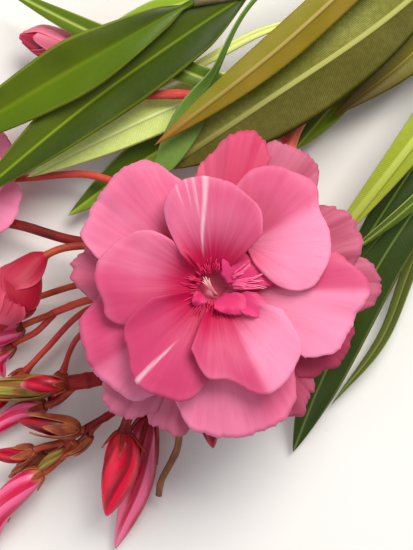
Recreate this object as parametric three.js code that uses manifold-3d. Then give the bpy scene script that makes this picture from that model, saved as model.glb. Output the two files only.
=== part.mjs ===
// A flowering branch tip of the double pink oleander, cut and lying on the ground, in millimetres.
// +X is right and +Y is up for someone who looks straight down on it, and the ground is z = 0.
import * as THREE from 'three';
import Module from 'manifold-3d';
import { mergeVertices } from 'three/addons/utils/BufferGeometryUtils.js';

const wasm = await Module();
wasm.setup();

// Driving dimensions
const EYE = 294;           // height of the eye that the branch is seen from
const BLOOM_LEVEL = 34;    // height at which distances across the view are true
const MIDDLE = { x: 22.8, y: 37.34 };  // middle of the finished branch, on the ground
const GAP = 0.3;           // clearance where one piece is carried by another
const STEM_FOOT = 4;       // radius of the woody stem at its cut end
const STEM_TOP = 2.3;      // radius where the leafy stem turns into the flower stalk
const STALK_TOP = 1.3;     // radius at the flower stalk's far end
const LEAF_THICK = 1.4;
const LEAF_STALK = 0.9;    // half the width of a leaf's stalk
const PETAL_THICK = 0.6;
const PETAL_ROOT = 4;      // how far from the bloom's axis a petal starts
const SIDE_SCALE = 0.56;   // size of the smaller bloom beside the large one
const LEAF_FULLNESS = 0.85;  // under 1, a leaf keeps its width longer towards both ends
const TIP_THINNING = 0.6;    // share of its thickness that a leaf loses towards the tip
const TUBE_FOOT = 2.2;       // radii of a bloom's tube: at its foot, above it, and inside
const TUBE = 2.8;
const TUBE_RISE = 6;         // how far the tube has its own width before it opens
const MOUTH = 7.5;           // radius of the open throat
const CUP = 2.4;             // radius of the flower cup at the end of a bloom's stalk
const CUP_STALK = 0.9;
const BODY_FULLNESS = 0.8;   // under 1, a bud is fullest nearer its foot, and keeps its width longer
const FLARE = 1.15;          // over 1, an opening flower's petals draw in again at the end

const GREEN = 0x587000;
const UNDERSIDE = 0x8d8f3a;
const BARK = 0x7a5230;
const CORAL = 0xd2604e;
const PINK = 0xe2568c;
const BUD_RED = 0xc4234a;
const OLIVE = 0x8c8228;
const DRY = 0x8a6a48;

const branch = new THREE.Group();
const carriers = new Map();

// How much a length at this height is stretched to look as long as one on the bloom's level.
function stretch(height) {
  return (EYE - height) / (EYE - BLOOM_LEVEL);
}

// A place at height z that shows at (x, y) of the bloom's level when seen from the eye.
function seen([x, y, z]) {
  return new THREE.Vector3(x * stretch(z) - MIDDLE.x, y * stretch(z) - MIDDLE.y, z);
}

function geometryOf(points, faces) {
  const geometry = new THREE.BufferGeometry().setFromPoints(points);
  const volume = faces.reduce(
    (sum, [a, b, c]) => sum + points[a].dot(points[b].clone().cross(points[c])), 0);
  geometry.setIndex(faces.flatMap(([a, b, c]) => (volume > 0 ? [a, b, c] : [a, c, b])));
  geometry.deleteAttribute('normal');
  return mergeVertices(geometry, 1e-4);
}

// A closed solid through rings of equally many points.
function loft(rings) {
  const sides = rings[0].length;
  const last = (rings.length - 1) * sides;
  const faces = [];
  for (let row = 0; row < last; row += sides) {
    for (let side = 0; side < sides; side += 1) {
      const next = (side + 1) % sides;
      faces.push([row + side, row + next, row + next + sides]);
      faces.push([row + side, row + next + sides, row + side + sides]);
    }
  }
  for (let side = 1; side + 1 < sides; side += 1) {
    faces.push([0, side + 1, side]);
    faces.push([last, last + side, last + side + 1]);
  }
  return geometryOf(rings.flat(), faces);
}

// A closed solid from a grid of points, thickened to both sides.
function slab(grid, thickness) {
  const rows = grid.length;
  const columns = grid[0].length;
  const upper = [];
  const lower = [];
  grid.forEach((row, i) => row.forEach((point, j) => {
    const along = grid[Math.min(i + 1, rows - 1)][j].clone().sub(grid[Math.max(i - 1, 0)][j]);
    const across = row[Math.min(j + 1, columns - 1)].clone().sub(row[Math.max(j - 1, 0)]);
    const normal = along.cross(across).normalize().multiplyScalar(thickness / 2);
    upper.push(point.clone().add(normal));
    lower.push(point.clone().sub(normal));
  }));
  const faces = [];
  const back = rows * columns;
  const strip = (a, b, c, d) => faces.push([a, b, c], [a, c, d]);
  for (let i = 0; i + 1 < rows; i += 1) {
    for (let j = 0; j + 1 < columns; j += 1) {
      const a = i * columns + j;
      strip(a, a + 1, a + columns + 1, a + columns);
      strip(back + a, back + a + columns, back + a + columns + 1, back + a + 1);
    }
    const left = i * columns;
    const right = left + columns - 1;
    strip(left, left + columns, back + left + columns, back + left);
    strip(right, back + right, back + right + columns, right + columns);
  }
  for (let j = 0; j + 1 < columns; j += 1) {
    const end = (rows - 1) * columns + j;
    strip(j, back + j, back + j + 1, j + 1);
    strip(end, end + 1, back + end + 1, back + end);
  }
  return geometryOf([...upper, ...lower], faces);
}

function solidOf(geometry) {
  return new wasm.Manifold(new wasm.Mesh({
    numProp: 3,
    vertProperties: new Float32Array(geometry.attributes.position.array),
    triVerts: new Uint32Array(geometry.index.array),
  }));
}

// The largest body of a solid, with no sealed hollow in it.
function outerShell(solid) {
  const shells = solid.decompose();
  shells.sort((one, other) => other.volume() - one.volume());
  const { vertProperties, triVerts } = shells[0].getMesh();
  const geometry = new THREE.BufferGeometry();
  geometry.setAttribute('position', new THREE.BufferAttribute(vertProperties, 3));
  geometry.setIndex(new THREE.BufferAttribute(triVerts, 1));
  return geometry;
}

function add(name, geometry, color, roughness = 0.6) {
  const material = new THREE.MeshStandardMaterial({ color, roughness, metalness: 0 });
  const mesh = new THREE.Mesh(geometry, material);
  mesh.name = name;
  branch.add(mesh);
}

// Rings round a path, with radius(t) as its thickness, flatter where flat is under 1.
function tube(path, radius, { sides = 7, steps = 12, flat = 1, swell = 0 } = {}) {
  const rings = [];
  for (let i = 0; i <= steps; i += 1) {
    const t = i / steps;
    const along = path.getTangent(t);
    const side = new THREE.Vector3(along.y, -along.x, 0).normalize();
    const up = side.clone().cross(along);
    const reach = radius(t) + swell;
    rings.push(Array.from({ length: sides }, (_, k) => {
      const turn = (2 * Math.PI * k) / sides;
      return path.getPoint(t)
        .addScaledVector(side, reach * Math.cos(turn))
        .addScaledVector(up, reach * flat * Math.sin(turn));
    }));
  }
  return loft(rings);
}

function pathThrough(places) {
  return new THREE.CatmullRomCurve3(places.map(seen));
}

// What is left of a piece outside the swollen shapes of those named.
function clearOf(geometry, names) {
  const cut = names.reduce(
    (solid, name) => solid.subtract(solidOf(carriers.get(name))), solidOf(geometry));
  return outerShell(cut);
}

// A round piece on its carriers, which can itself carry others.
function grow(name, on, path, radius, color, shape = {}) {
  add(name, clearOf(tube(path, radius, shape), on), color);
  carriers.set(name, tube(path, radius, { ...shape, swell: GAP }));
}

// A limb that tapers from one radius to another and can carry others.
function limb(name, on, places, from, to, color, shape = {}) {
  grow(name, on, pathThrough(places), (t) => from + (to - from) * t, color, shape);
}

// Leaves
function leafHalfWidth(t, width, belly) {
  const lean = Math.log(0.5) / Math.log(belly);
  const blade = (width / 2) * Math.sin(Math.PI * t ** lean) ** LEAF_FULLNESS;
  return Math.max(blade, LEAF_STALK * (1 - t));
}

// A leaf from its node to its tip, turned by roll degrees about its midrib. Where level is given, the
// turn dies out between those two shares of its length.
function leaf(name, on, places, width, { fold = 0.18, roll = 0, level, belly = 0.55, under = false } = {}) {
  const path = pathThrough(places);
  const steps = 13;
  const rings = [];
  for (let i = 0; i <= steps; i += 1) {
    const t = i / steps;
    const along = path.getTangent(t);
    const flatSide = new THREE.Vector3(along.y, -along.x, 0).normalize();
    const turned = level ? roll * (1 - THREE.MathUtils.smoothstep(t, ...level)) : roll;
    const side = flatSide.applyAxisAngle(along, THREE.MathUtils.degToRad(turned));
    const up = side.clone().cross(along).normalize();
    const half = leafHalfWidth(t, width, belly);
    const thick = (LEAF_THICK / 2) * (1 - TIP_THINNING * t ** 4);
    const point = (s, level) => path.getPoint(t)
      .addScaledVector(side, s * half)
      .addScaledVector(up, (under ? -fold : fold) * Math.abs(s) * half + level);
    rings.push([
      point(-1, 0), point(-0.5, thick), point(0, thick), point(0.5, thick),
      point(1, 0), point(0.5, -thick), point(0, -thick), point(-0.5, -thick),
    ]);
  }
  add(name, clearOf(loft(rings), [on]), under ? UNDERSIDE : GREEN, 0.4);
}

// Petals: each is a fan round the bloom's axis, in its own angles and reaches.
function reachAt(reaches, share) {
  const place = share * (reaches.length - 1);
  const low = Math.min(Math.floor(place), reaches.length - 2);
  return reaches[low] + (reaches[low + 1] - reaches[low]) * (place - low);
}

function petal({ from, to, reaches, root, rim, bow = 1.2, lean = 0.8, rows = 3, columns = 5 }) {
  const grid = [];
  for (let i = 0; i <= rows; i += 1) {
    const out = i / rows;
    grid.push(Array.from({ length: columns + 1 }, (_, j) => {
      const share = j / columns;
      const angle = THREE.MathUtils.degToRad(from + (to - from) * share);
      const tilt = lean * (1 - 2 * share) * out;
      const height = root + (rim - root) * out + 4 * bow * out * (1 - out) + tilt;
      const reach = (PETAL_ROOT + (reachAt(reaches, share) - PETAL_ROOT) * out) * stretch(height);
      return new THREE.Vector3(reach * Math.cos(angle), reach * Math.sin(angle), height);
    }));
  }
  return slab(grid, PETAL_THICK);
}

// The corolla's tube and open throat, turned on the bloom's axis.
function throat(foot, mouth) {
  const outline = [
    [0, foot], [TUBE_FOOT, foot], [TUBE, foot + TUBE_RISE], [MOUTH - 2.5, mouth - 3], [MOUTH, mouth - 0.6],
    [MOUTH - 0.5, mouth + 0.4], [TUBE * 1.5, mouth], [TUBE, mouth - 2], [0, mouth - 3],
  ];
  const turned = new THREE.LatheGeometry(outline.map(([r, z]) => new THREE.Vector2(r, z)), 16);
  turned.rotateX(Math.PI / 2);
  turned.deleteAttribute('normal');
  turned.deleteAttribute('uv');
  const merged = mergeVertices(turned, 1e-4);
  const kept = [];
  for (let i = 0; i < merged.index.count; i += 3) {
    const corners = [0, 1, 2].map((k) => merged.index.getX(i + k));
    if (new Set(corners).size === 3) kept.push(corners);
  }
  const points = Array.from({ length: merged.attributes.position.count },
    (_, i) => new THREE.Vector3().fromBufferAttribute(merged.attributes.position, i));
  return geometryOf(points, kept);
}

function fused(geometries) {
  const solids = geometries.map(solidOf);
  return outerShell(solids.reduce((whole, solid) => whole.add(solid)));
}

// The large bloom: angles in degrees from +X, reaches and heights in millimetres.
const INNER = { root: 36.5, bow: 1.4, lean: 1, rows: 4, columns: 6 };
const MIDDLE_WHORL = { root: 35, bow: 1.2, columns: 6 };
const OUTER = { root: 33.5, bow: 1.2, lean: 0.4 };
const BLOOM_PETALS = [
  { ...INNER, from: -8, to: 84, reaches: [15, 24, 28, 29.5, 30, 28, 19], rim: 40 },
  { ...INNER, from: 47, to: 131, reaches: [16, 20.3, 22.3, 23.8, 24.8, 23, 15], rim: 42.5 },
  { ...INNER, from: 134, to: 210, reaches: [16, 21.5, 24.3, 26.5, 24.8, 24, 18], rim: 40 },
  { ...INNER, from: 190, to: 272, reaches: [14, 21.4, 23.6, 27.2, 26.8, 25.3, 18], rim: 41 },
  { ...INNER, from: 250, to: 342, reaches: [14.5, 19.8, 21, 26.5, 25.7, 23, 16], rim: 42 },
  { ...MIDDLE_WHORL, from: 106, to: 170, reaches: [24, 31, 32.6, 32.5, 31.8, 31, 24], rim: 36 },
  { ...MIDDLE_WHORL, from: 184, to: 246, reaches: [25, 30.2, 31.6, 32.4, 31.4, 30.5, 25], rim: 36 },
  { ...MIDDLE_WHORL, from: 250, to: 316, reaches: [26, 31.8, 33.2, 33.7, 33.5, 31.2, 25], rim: 35 },
  { ...MIDDLE_WHORL, from: 322, to: 376, reaches: [25.5, 30.5, 31.7, 32, 34.4, 32, 28], rim: 36 },
  { ...OUTER, from: 158, to: 196, reaches: [28, 29.5, 31.5, 31.3, 28.5, 25.5, 22], rim: 32 },
  { ...OUTER, from: 216, to: 246, reaches: [29, 32.1, 34.6, 35.5, 35, 33, 30], rim: 31.5 },
  { ...OUTER, from: 240, to: 266, reaches: [30, 33, 33.3, 33.8, 33.4, 31, 28], rim: 31 },
  { ...OUTER, from: 296, to: 322, reaches: [30, 33.8, 34.7, 32.8, 32.3, 29.6, 26], rim: 31 },
  { ...OUTER, from: 312, to: 350, reaches: [27, 30, 31.4, 33.2, 32.5, 32.5, 28], rim: 31.5 },
  { ...OUTER, from: 348, to: 376, reaches: [31, 35, 36.9, 37.2, 35.7, 33, 29], rim: 31 },
  { ...OUTER, from: 8, to: 42, reaches: [31, 33.6, 34.4, 34.5, 33, 29.8, 26], rim: 32 },
  { ...OUTER, from: 40, to: 74, reaches: [28, 33.3, 35.6, 35.4, 35.2, 34, 30], rim: 31.5 },
  { ...OUTER, from: 66, to: 102, reaches: [31, 34.8, 34.8, 33.5, 29.7, 26.8, 23], rim: 32.5 },
];
const BLOOM_AXIS = [1.5, -2.5, BLOOM_LEVEL];
const BLOOM_FOOT = 23.8;
const BLOOM_MOUTH = 36.5;

function largeBloom() {
  const pieces = BLOOM_PETALS.map((one) => petal(one));
  const whole = fused([throat(BLOOM_FOOT, BLOOM_MOUTH), ...pieces]);
  const axis = seen(BLOOM_AXIS);
  whole.translate(axis.x, axis.y, 0);
  add('bloom', whole, PINK, 0.6);
}

// The smaller bloom: three whorls of like petals, each turned from the one below.
const SIDE_AXIS = [-56.5, 20.3, 12.5];
const SIDE_WHORLS = [
  { count: 5, turn: 12, reach: 25, root: 36.5, rim: 40, lean: 1 },
  { count: 5, turn: -24, reach: 31.5, root: 34.5, rim: 35, lean: 0.8 },
  { count: 4, turn: 30, reach: 29, root: 32.8, rim: 31, lean: 0.5 },
];
const SIDE_OUTLINE = [0.66, 0.96, 1, 0.95, 0.64];

function smallBloom() {
  const pieces = SIDE_WHORLS.flatMap((whorl) => Array.from({ length: whorl.count }, (_, k) => {
    const middle = whorl.turn + (360 * k) / whorl.count;
    const half = 190 / whorl.count;
    const reaches = SIDE_OUTLINE.map((share) => share * whorl.reach);
    return petal({ ...whorl, from: middle - half, to: middle + half, reaches, columns: 4 });
  }));
  const whole = fused([throat(BLOOM_FOOT, BLOOM_MOUTH), ...pieces]);
  const axis = seen(SIDE_AXIS);
  whole.translate(0, 0, -BLOOM_MOUTH);
  whole.scale(SIDE_SCALE, SIDE_SCALE, SIDE_SCALE);
  whole.translate(axis.x, axis.y, SIDE_AXIS[2]);
  add('side_bloom', whole, PINK, 0.6);
}

// A stalk with a flower cup at its end, on the level below the bloom's foot.
function cupStalk(name, on, places, foot) {
  const last = places[places.length - 1];
  const path = pathThrough([...places, [last[0], last[1], foot - GAP]]);
  const radius = (t) => CUP_STALK + (CUP - CUP_STALK) * THREE.MathUtils.smoothstep(t, 0.7, 1);
  grow(name, [on], path, radius, CORAL, { steps: 16 });
}

// A bud or closed flower on its own stalk, which takes up the first share of its length.
function bud(name, on, places, { stalk = 0.8, fat = 2.4, share = 0.5, blunt = 0.25, color = BUD_RED }) {
  const path = pathThrough(places);
  const radius = (t) => {
    const body = Math.max(0, (t - share) / (1 - share));
    const swelling = Math.sin(Math.PI * body ** BODY_FULLNESS) ** BODY_FULLNESS;
    const foot = stalk + (blunt - stalk) * body ** 2;
    return foot + (fat - foot) * swelling;
  };
  grow(name, on, path, radius, color, { steps: 14 });
}

// A half-open flower: a short tube that widens to loosely folded petals.
function openingFlower(name, on, places, { stalk = 0.9, fat = 7, share = 0.3, flat = 0.8 }) {
  const path = pathThrough(places);
  const radius = (t) => {
    const body = Math.max(0, (t - share) / (1 - share));
    const opening = Math.sin((FLARE * Math.PI * body) / 2) ** 1.3;
    const drawnIn = 0.3 * fat * body ** 6;
    return stalk + (fat - stalk) * opening - drawnIn;
  };
  grow(name, on, path, radius, PINK, { steps: 14, sides: 9, flat });
}

// The woody stem, with its nodes numbered from the flowers back to the cut
const NODES = [
  [37, 50, 12.5], [49, 62.5, 12], [61.5, 75.5, 10.5], [73.5, 88.5, 8.5], [85.5, 102, 6.5], [97.5, 115, 5],
];
const CUT_END = [108.5, 127, STEM_FOOT];
const STEM_END = [26, 40, 13];
const STALK_START = [29, 42.7, 13];
const HUB = [-9, 3, 13];
const FAR_HUB = [-9, -20.5, 12];
const STEM = ['main_stem'];
const STALK = ['flower_stalk'];

limb('main_stem', [], [CUT_END, NODES[4], NODES[2], NODES[0], STEM_END],
  STEM_FOOT, STEM_TOP, BARK, { sides: 12, steps: 12 });
limb('flower_stalk', STEM,
  [STALK_START, [20.5, 34, 13], [17, 26, 13], [5, 13, 13.5], HUB, [-10.5, -9, 12.5], FAR_HUB],
  STEM_TOP - 0.3, STALK_TOP, CORAL, { sides: 8, steps: 16 });

// A leafy side shoot, which bears three of the leaves that cross the view
const SHOOT_END = [-3, 60, 20.7];
limb('side_shoot', STEM,
  [[59.5, 75.8, 11], [45, 74.5, 15], [28, 69.5, 17.5], [10.5, 62.5, 18.4], SHOOT_END],
  1.7, 1.1, BARK, { steps: 10 });

// Leaves, from the node that carries each to its tip
leaf('leaf_01', 'flower_stalk', [[22, 35.5, 13], [8, 40, 16.8], [-24, 52.8, 14.7], [-46, 63.8, 12]], 5.8);
leaf('leaf_02', 'side_shoot',
  [SHOOT_END, [-9, 57, 22], [-22, 49.5, 22.6], [-35, 42, 21.7], [-61, 26.5, 19.5]], 13.4, { belly: 0.66 });
leaf('leaf_03', 'side_shoot', [[10, 62.3, 18.4], [-2, 54.5, 18.8], [-26, 37.5, 19], [-51, 17, 21.6]], 14);
leaf('leaf_04', 'main_stem',
  [NODES[0], [20, 44.5, 14], [-3.5, 38.4, 13.3], [-22.5, 30, 12.6], [-39.5, 21.5, 12]], 9.8, { under: true });
leaf('leaf_05', 'main_stem', [NODES[4], [49, 79, 22], [14.3, 48.6, 27], [-11.5, 28.5, 27]],
  8.4, { under: true, fold: 0.3, belly: 0.57 });
leaf('leaf_06', 'main_stem', [NODES[3], [38, 78, 23], [11, 61, 24], [0.5, 42, 22.4], [-12, 19.5, 22.9]],
  9, { under: true, belly: 0.8, fold: 0.1, roll: -64, level: [0.66, 0.9] });
leaf('leaf_07', 'main_stem', [[35, 48.5, 12.5], [14, 40, 8.5], [-12.5, 26, 7], [-30.5, 13, 5]], 11);
leaf('leaf_08', 'main_stem', [[60, 74, 10.7], [38, 55.2, 18.8], [11.5, 37.2, 20.1], [-9.5, 23.2, 19.2]],
  19, { under: true, fold: 0.1 });
leaf('leaf_09', 'main_stem', [[60, 74, 10.7], [56, 62, 9.8], [45.5, 49, 9.6], [28, 35, 10.3]], 9);
leaf('leaf_10', 'main_stem',
  [NODES[4], [79, 84, 14.5], [66, 58, 19.5], [45.4, 29.3, 22], [22.3, 0.5, 20.5]], 10,
  { under: true, belly: 0.5 });
leaf('leaf_11', 'main_stem',
  [NODES[5], [83, 58, 14], [48, 18.5, 17.8], [27.2, 1.5, 16.8]], 5.6, { roll: -50 });
leaf('leaf_12', 'main_stem',
  [[82, 98, 7], [66, 46, 10.5], [37.5, 1.5, 12], [25, -24, 8.5], [19, -39, 2]], 11);
leaf('leaf_13', 'main_stem',
  [[94.5, 111.8, 5.3], [84, 64, 4.5], [48, 8, 6.8], [38.6, -14.3, 5.5], [27.5, -28.5, 3]], 5, { roll: 52 });
leaf('leaf_14', 'main_stem',
  [[44.5, 58, 12], [15, 54.5, 13], [0.5, 47.5, 13.7], [-15, 38.8, 13]], 2.4, { fold: 0 });
leaf('leaf_15', 'side_shoot', [[3, 61.2, 18.9], [-6, 59.3, 17.8], [-15, 55.6, 17.5], [-25, 51.2, 17]],
  7, { under: true });
leaf('leaf_16', 'main_stem', [[38.5, 51.5, 12.5], [30, 40, 7.4], [19.5, 27.5, 6]], 7);
leaf('leaf_17', 'main_stem', [NODES[5], [76, 118, 14], [44, 108, 13], [14, 92, 3]], 14);
leaf('leaf_18', 'main_stem', [[98, 115.5, 5], [106, 92, 11], [100, 60, 10], [86, 32, 2.5]], 13);
leaf('leaf_19', 'main_stem',
  [[92, 108.5, 5.5], [85, 88, 10.5], [68, 58, 13], [42.1, 18.7, 14], [28, -3, 13]], 9);

// The large bloom over the hub, on its own stalk
largeBloom();
cupStalk('bloom_stalk', 'flower_stalk', [[-6.5, 6, 13.5], [-2, 1, 15], [1.4, -2.4, 18.5]], BLOOM_FOOT);

// The upper branch, with an opening flower at its end
limb('upper_branch', STALK,
  [[18.5, 29.5, 13.3], [8, 34.8, 16], [-1.5, 39.2, 16.6], [-16, 39.6, 16]], 1.3, 1.1, CORAL);
openingFlower('upper_flower', ['upper_branch'],
  [[-16, 39.6, 16], [-20, 42.4, 13.8], [-24.5, 46.4, 11], [-31.5, 50.2, 9], [-41, 52.5, 8]],
  { fat: 3.7, share: 0.45, flat: 0.9 });

// The side bloom on a long stalk
smallBloom();
const SIDE_FOOT = SIDE_AXIS[2] + SIDE_SCALE * (BLOOM_FOOT - BLOOM_MOUTH);
cupStalk('side_bloom_stalk', 'flower_stalk',
  [[-5, 8, 12], [-13, 16.5, 11], [-25, 21.9, 9.5], [-39, 21.4, 8], [-51, 20.6, 3.2], [-56.4, 20.4, 3]],
  SIDE_FOOT);

// Buds and opening flowers to the left of the hub
bud('left_bud', STALK,
  [[-7, 6.5, 13], [-28, 7.4, 10.5], [-45.5, 11.4, 7.5], [-54, 7.5, 4.6], [-66, -1, 3.6]],
  { stalk: 1.2, fat: 2.9, share: 0.55 });
openingFlower('left_flower', STALK,
  [[-9, 3, 13.3], [-27.5, 6.4, 16], [-35.5, 4.2, 17], [-42.5, -4, 17], [-46.5, -12, 16]],
  { fat: 7, share: 0.5, flat: 0.75 });
bud('bud_01', STALK, [[-9.4, 0.5, 12.8], [-27.5, -2, 8.5], [-37.5, -5, 6], [-47, -8, 5], [-56, -12, 4]],
  { fat: 2.4, share: 0.65 });
limb('left_branch', STALK,
  [[-9.8, -2, 12.7], [-18, -4, 12], [-27, -5.8, 11], [-34, -8.5, 9.5]], 1, 0.9, CORAL);
bud('bud_02', ['left_branch'], [[-33.5, -8.4, 10], [-39, -10.5, 9], [-43, -12.5, 8.8], [-51, -17, 8]],
  { fat: 2.2, share: 0.45 });
bud('bud_03', ['left_branch', 'bud_02'],
  [[-33.2, -8.2, 9], [-37.5, -12.5, 6.8], [-42.5, -15.2, 5.5], [-46, -18.5, 4.5], [-44.5, -22.5, 3.5]],
  { fat: 2.2, share: 0.5 });
bud('bud_04', STALK,
  [[-10, -4.5, 12.5], [-26, -7.5, 7.5], [-35.5, -16.5, 6], [-41, -22.5, 4], [-50, -32.5, 3]],
  { stalk: 0.75, fat: 2, share: 0.7 });
bud('bud_05', STALK,
  [[-10.3, -7.5, 12.5], [-22, -9.5, 10], [-28.5, -14, 6.8], [-32, -22.5, 3.2], [-34.5, -29.5, 2.6]],
  { stalk: 0.7, fat: 1.9, share: 0.72 });

// The thick lower-left axis and its buds
limb('lower_branch', STALK, [[-10.2, -13, 12.3], [-15, -19.5, 12], [-23, -22.5, 12.5], [-31, -24, 12.5]],
  1.6, 1.9, CORAL);
bud('bud_06', ['lower_branch'], [[-30.5, -24, 13.8], [-36, -24, 14.6], [-41, -24.2, 14.6]],
  { stalk: 1.2, fat: 2.1, share: 0.05 });
bud('bud_07', ['lower_branch', 'bud_06'], [[-30, -24.2, 11.8], [-38, -24.6, 9], [-52, -25.5, 8]],
  { stalk: 1, fat: 2.6, share: 0.2, color: OLIVE });
bud('bud_08', ['lower_branch', 'bud_07'],
  [[-29, -24.5, 11], [-33, -28, 7], [-40.5, -29.8, 4], [-52, -38, 4.3]],
  { fat: 2.3, share: 0.45 });

// The lowest branch and its cluster
limb('low_branch', STALK,
  [[-9.2, -19, 12], [-14, -25.5, 11.5], [-21, -30.5, 11], [-26.5, -33.7, 11], [-32, -37, 9]],
  1, 0.9, CORAL);
bud('bud_09', ['low_branch'], [[-27, -34, 12], [-32, -33.5, 13.5], [-41.5, -32, 14]],
  { stalk: 0.9, fat: 2.4, share: 0.1 });
bud('bud_10', ['low_branch'], [[-24, -32.3, 10.5], [-27, -37, 8], [-32.5, -40.5, 7.6]],
  { stalk: 0.6, fat: 1.1, share: 0.3 });
bud('bud_11', ['low_branch'],
  [[-31.5, -36.7, 9.5], [-36, -37.8, 11], [-41.5, -39.5, 10.5], [-48, -39.5, 9.5]],
  { stalk: 0.8, fat: 2, share: 0.45 });
bud('bud_12', ['low_branch', 'bud_11'], [[-31.5, -36.7, 8.6], [-36.5, -39.6, 5.6], [-43.5, -44.5, 3.2]],
  { stalk: 0.6, fat: 1.3, share: 0.4 });
bud('bud_13', ['low_branch', 'bud_10', 'bud_11', 'bud_12'],
  [[-29.5, -35.5, 8.6], [-34, -42, 6.8], [-39.5, -45.5, 8], [-45.5, -52, 7.8], [-47.5, -60, 5.8]],
  { stalk: 1, fat: 3.2, share: 0.35 });
bud('bud_14', ['low_branch', 'bud_10', 'bud_13'],
  [[-22.5, -31.3, 10], [-32.5, -41, 3.5], [-40.5, -47, 1.9], [-46, -54, 1.9], [-49.5, -62, 2.2]],
  { stalk: 0.7, fat: 1.9, share: 0.6 });

// Two large buds, one under the bloom's rim and a dry stalk at the bottom
bud('bud_15', ['flower_stalk', 'lower_branch', 'low_branch'],
  [[-9.8, -16.5, 12.5], [-12.8, -23, 16], [-17.8, -33, 16], [-18.8, -42, 14], [-22, -53, 12]],
  { stalk: 1.2, fat: 4.3, share: 0.54 });
bud('bud_16', ['flower_stalk', 'low_branch', 'lower_branch'],
  [[-9.4, -18, 11.5], [-11.5, -27, 7.8], [-14, -36, 5.6], [-15.5, -47, 4.8], [-20, -60, 3]],
  { stalk: 1, fat: 3.2, share: 0.36 });
bud('bud_17', STALK, [[-9.5, -14.5, 12.4], [-5, -23, 15.5], [0, -31, 15.5], [1.5, -38, 14]],
  { stalk: 1, fat: 2.8, share: 0.3 });
limb('dry_stalk', ['flower_stalk', 'low_branch', 'bud_16'],
  [[-9, -19.5, 12], [-6.5, -30, 11], [-6.3, -37.5, 9.5], [-10, -45.5, 7.5], [-10.5, -48.5, 6.5]],
  1, 0.8, DRY, { steps: 10 });

export default branch;
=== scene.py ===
import math
from random import Random

import bmesh
import bpy
from bpy.props import FloatProperty, FloatVectorProperty, IntProperty, PointerProperty
from mathutils import Matrix, Vector, noise


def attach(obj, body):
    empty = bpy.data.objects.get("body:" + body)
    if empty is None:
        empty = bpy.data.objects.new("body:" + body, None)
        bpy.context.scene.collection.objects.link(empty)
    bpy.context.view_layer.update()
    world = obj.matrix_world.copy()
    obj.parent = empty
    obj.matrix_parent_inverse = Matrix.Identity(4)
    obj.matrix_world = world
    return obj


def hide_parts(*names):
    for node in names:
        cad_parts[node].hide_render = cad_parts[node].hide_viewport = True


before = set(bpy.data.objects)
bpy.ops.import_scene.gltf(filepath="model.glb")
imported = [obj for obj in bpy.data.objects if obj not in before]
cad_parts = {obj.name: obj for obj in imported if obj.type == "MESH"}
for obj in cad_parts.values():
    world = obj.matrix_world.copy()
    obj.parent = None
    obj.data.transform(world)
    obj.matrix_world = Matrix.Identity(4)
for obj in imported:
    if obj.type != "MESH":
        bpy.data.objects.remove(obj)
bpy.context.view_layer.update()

bl_info = {
    "name": "Flowering oleander branch",
    "version": (1, 0, 0),
    "blender": (4, 5, 0),
    "location": "3D View > Sidebar > Oleander",
    "description": "Leaves, blooms, buds and stalks of a cut branch of double pink oleander",
    "category": "Object",
}

# Lengths in this file are in millimetres where no unit is given, and pieces are scaled to metres at the end.
MM = 0.001
EYE = 294.0            # height of the eye that looks down on the branch
BLOOM_LEVEL = 34.0     # height at which distances across the view are true
MIDDLE = (22.8, 37.34)  # middle of the finished branch, on the ground
VIEW_LONG_SIDE = 121.0  # what the view takes in on the bloom's level, along its long side
FILM = 36.0
SAME_POINT = 1e-4
FLOOR_GAP = 0.15
THINNEST_CORE = 0.6    # radius under which a blade is no longer wrapped further round its path
FULL_TURN = 2 * math.pi

# The stage, in metres: lamps with their place, size, power and tint, the floor and the sky
LAMPS = [
    ("key", (0.22, 0.42, 0.62), 0.42, 7.5, (1.0, 0.96, 0.9)),
    ("fill", (-0.6, -0.3, 0.5), 0.8, 2.2, (0.92, 0.95, 1.0)),
]
FLOOR_HALF = 3.0
SKY = (0.93, 0.95, 1.0, 1.0)
SKY_STRENGTH = 0.42


def srgb(red, green, blue):
    """A colour for Blender from the 0 to 255 values of a screen."""
    def linear(value):
        share = value / 255
        return share / 12.92 if share <= 0.04045 else ((share + 0.055) / 1.055) ** 2.4

    return (linear(red), linear(green), linear(blue))


def colour_setting(name, description, default):
    return FloatVectorProperty(
        name=name, description=description, subtype="COLOR", size=3, min=0, max=1, default=default)


def length_setting(name, description, default):
    return FloatProperty(
        name=name, description=description, unit="LENGTH", precision=5, min=0, soft_max=0.05,
        default=default * MM)


class OleanderSizes(bpy.types.PropertyGroup):
    leaf_thickness: length_setting("Leaf thickness", "Thickness of a leaf beside its midrib", 0.7)
    petal_thickness: length_setting("Petal thickness", "Thickness of a petal", 0.32)
    ruffle: length_setting("Ruffle", "How far the petal rims wave up and down", 0.55)
    fringe: length_setting("Fringe", "Length of the fringes round the throat", 3.6)
    fringes: IntProperty(
        name="Fringes", description="Number of fringes round the throat, in percent", default=90, min=10,
        max=300)


class OleanderColours(bpy.types.PropertyGroup):
    petal: colour_setting("Petal", "The petals' own pink", srgb(216, 66, 118))
    petal_pale: colour_setting("Pale petal", "Where petals are palest", srgb(255, 158, 196))
    throat: colour_setting("Throat", "Crimson of the throat and its fringes", srgb(206, 2, 78))
    leaf: colour_setting("Leaf", "Upper side of the leaves", srgb(60, 74, 0))
    leaf_bright: colour_setting("Bright leaf", "Lighter parts of the upper sides", srgb(92, 112, 0))
    underside: colour_setting("Underside", "Underside of the leaves", srgb(118, 122, 34))
    midrib: colour_setting("Midrib", "Midribs seen from above", srgb(146, 168, 34))
    stalk: colour_setting("Stalk", "Coral stalks of the flowers", srgb(196, 66, 50))
    bark: colour_setting("Bark", "Woody stem", srgb(112, 88, 58))
    bud: colour_setting("Bud", "Closed buds", srgb(212, 8, 48))
    calyx: colour_setting("Calyx", "Sepals round the buds", srgb(156, 56, 36))


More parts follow.
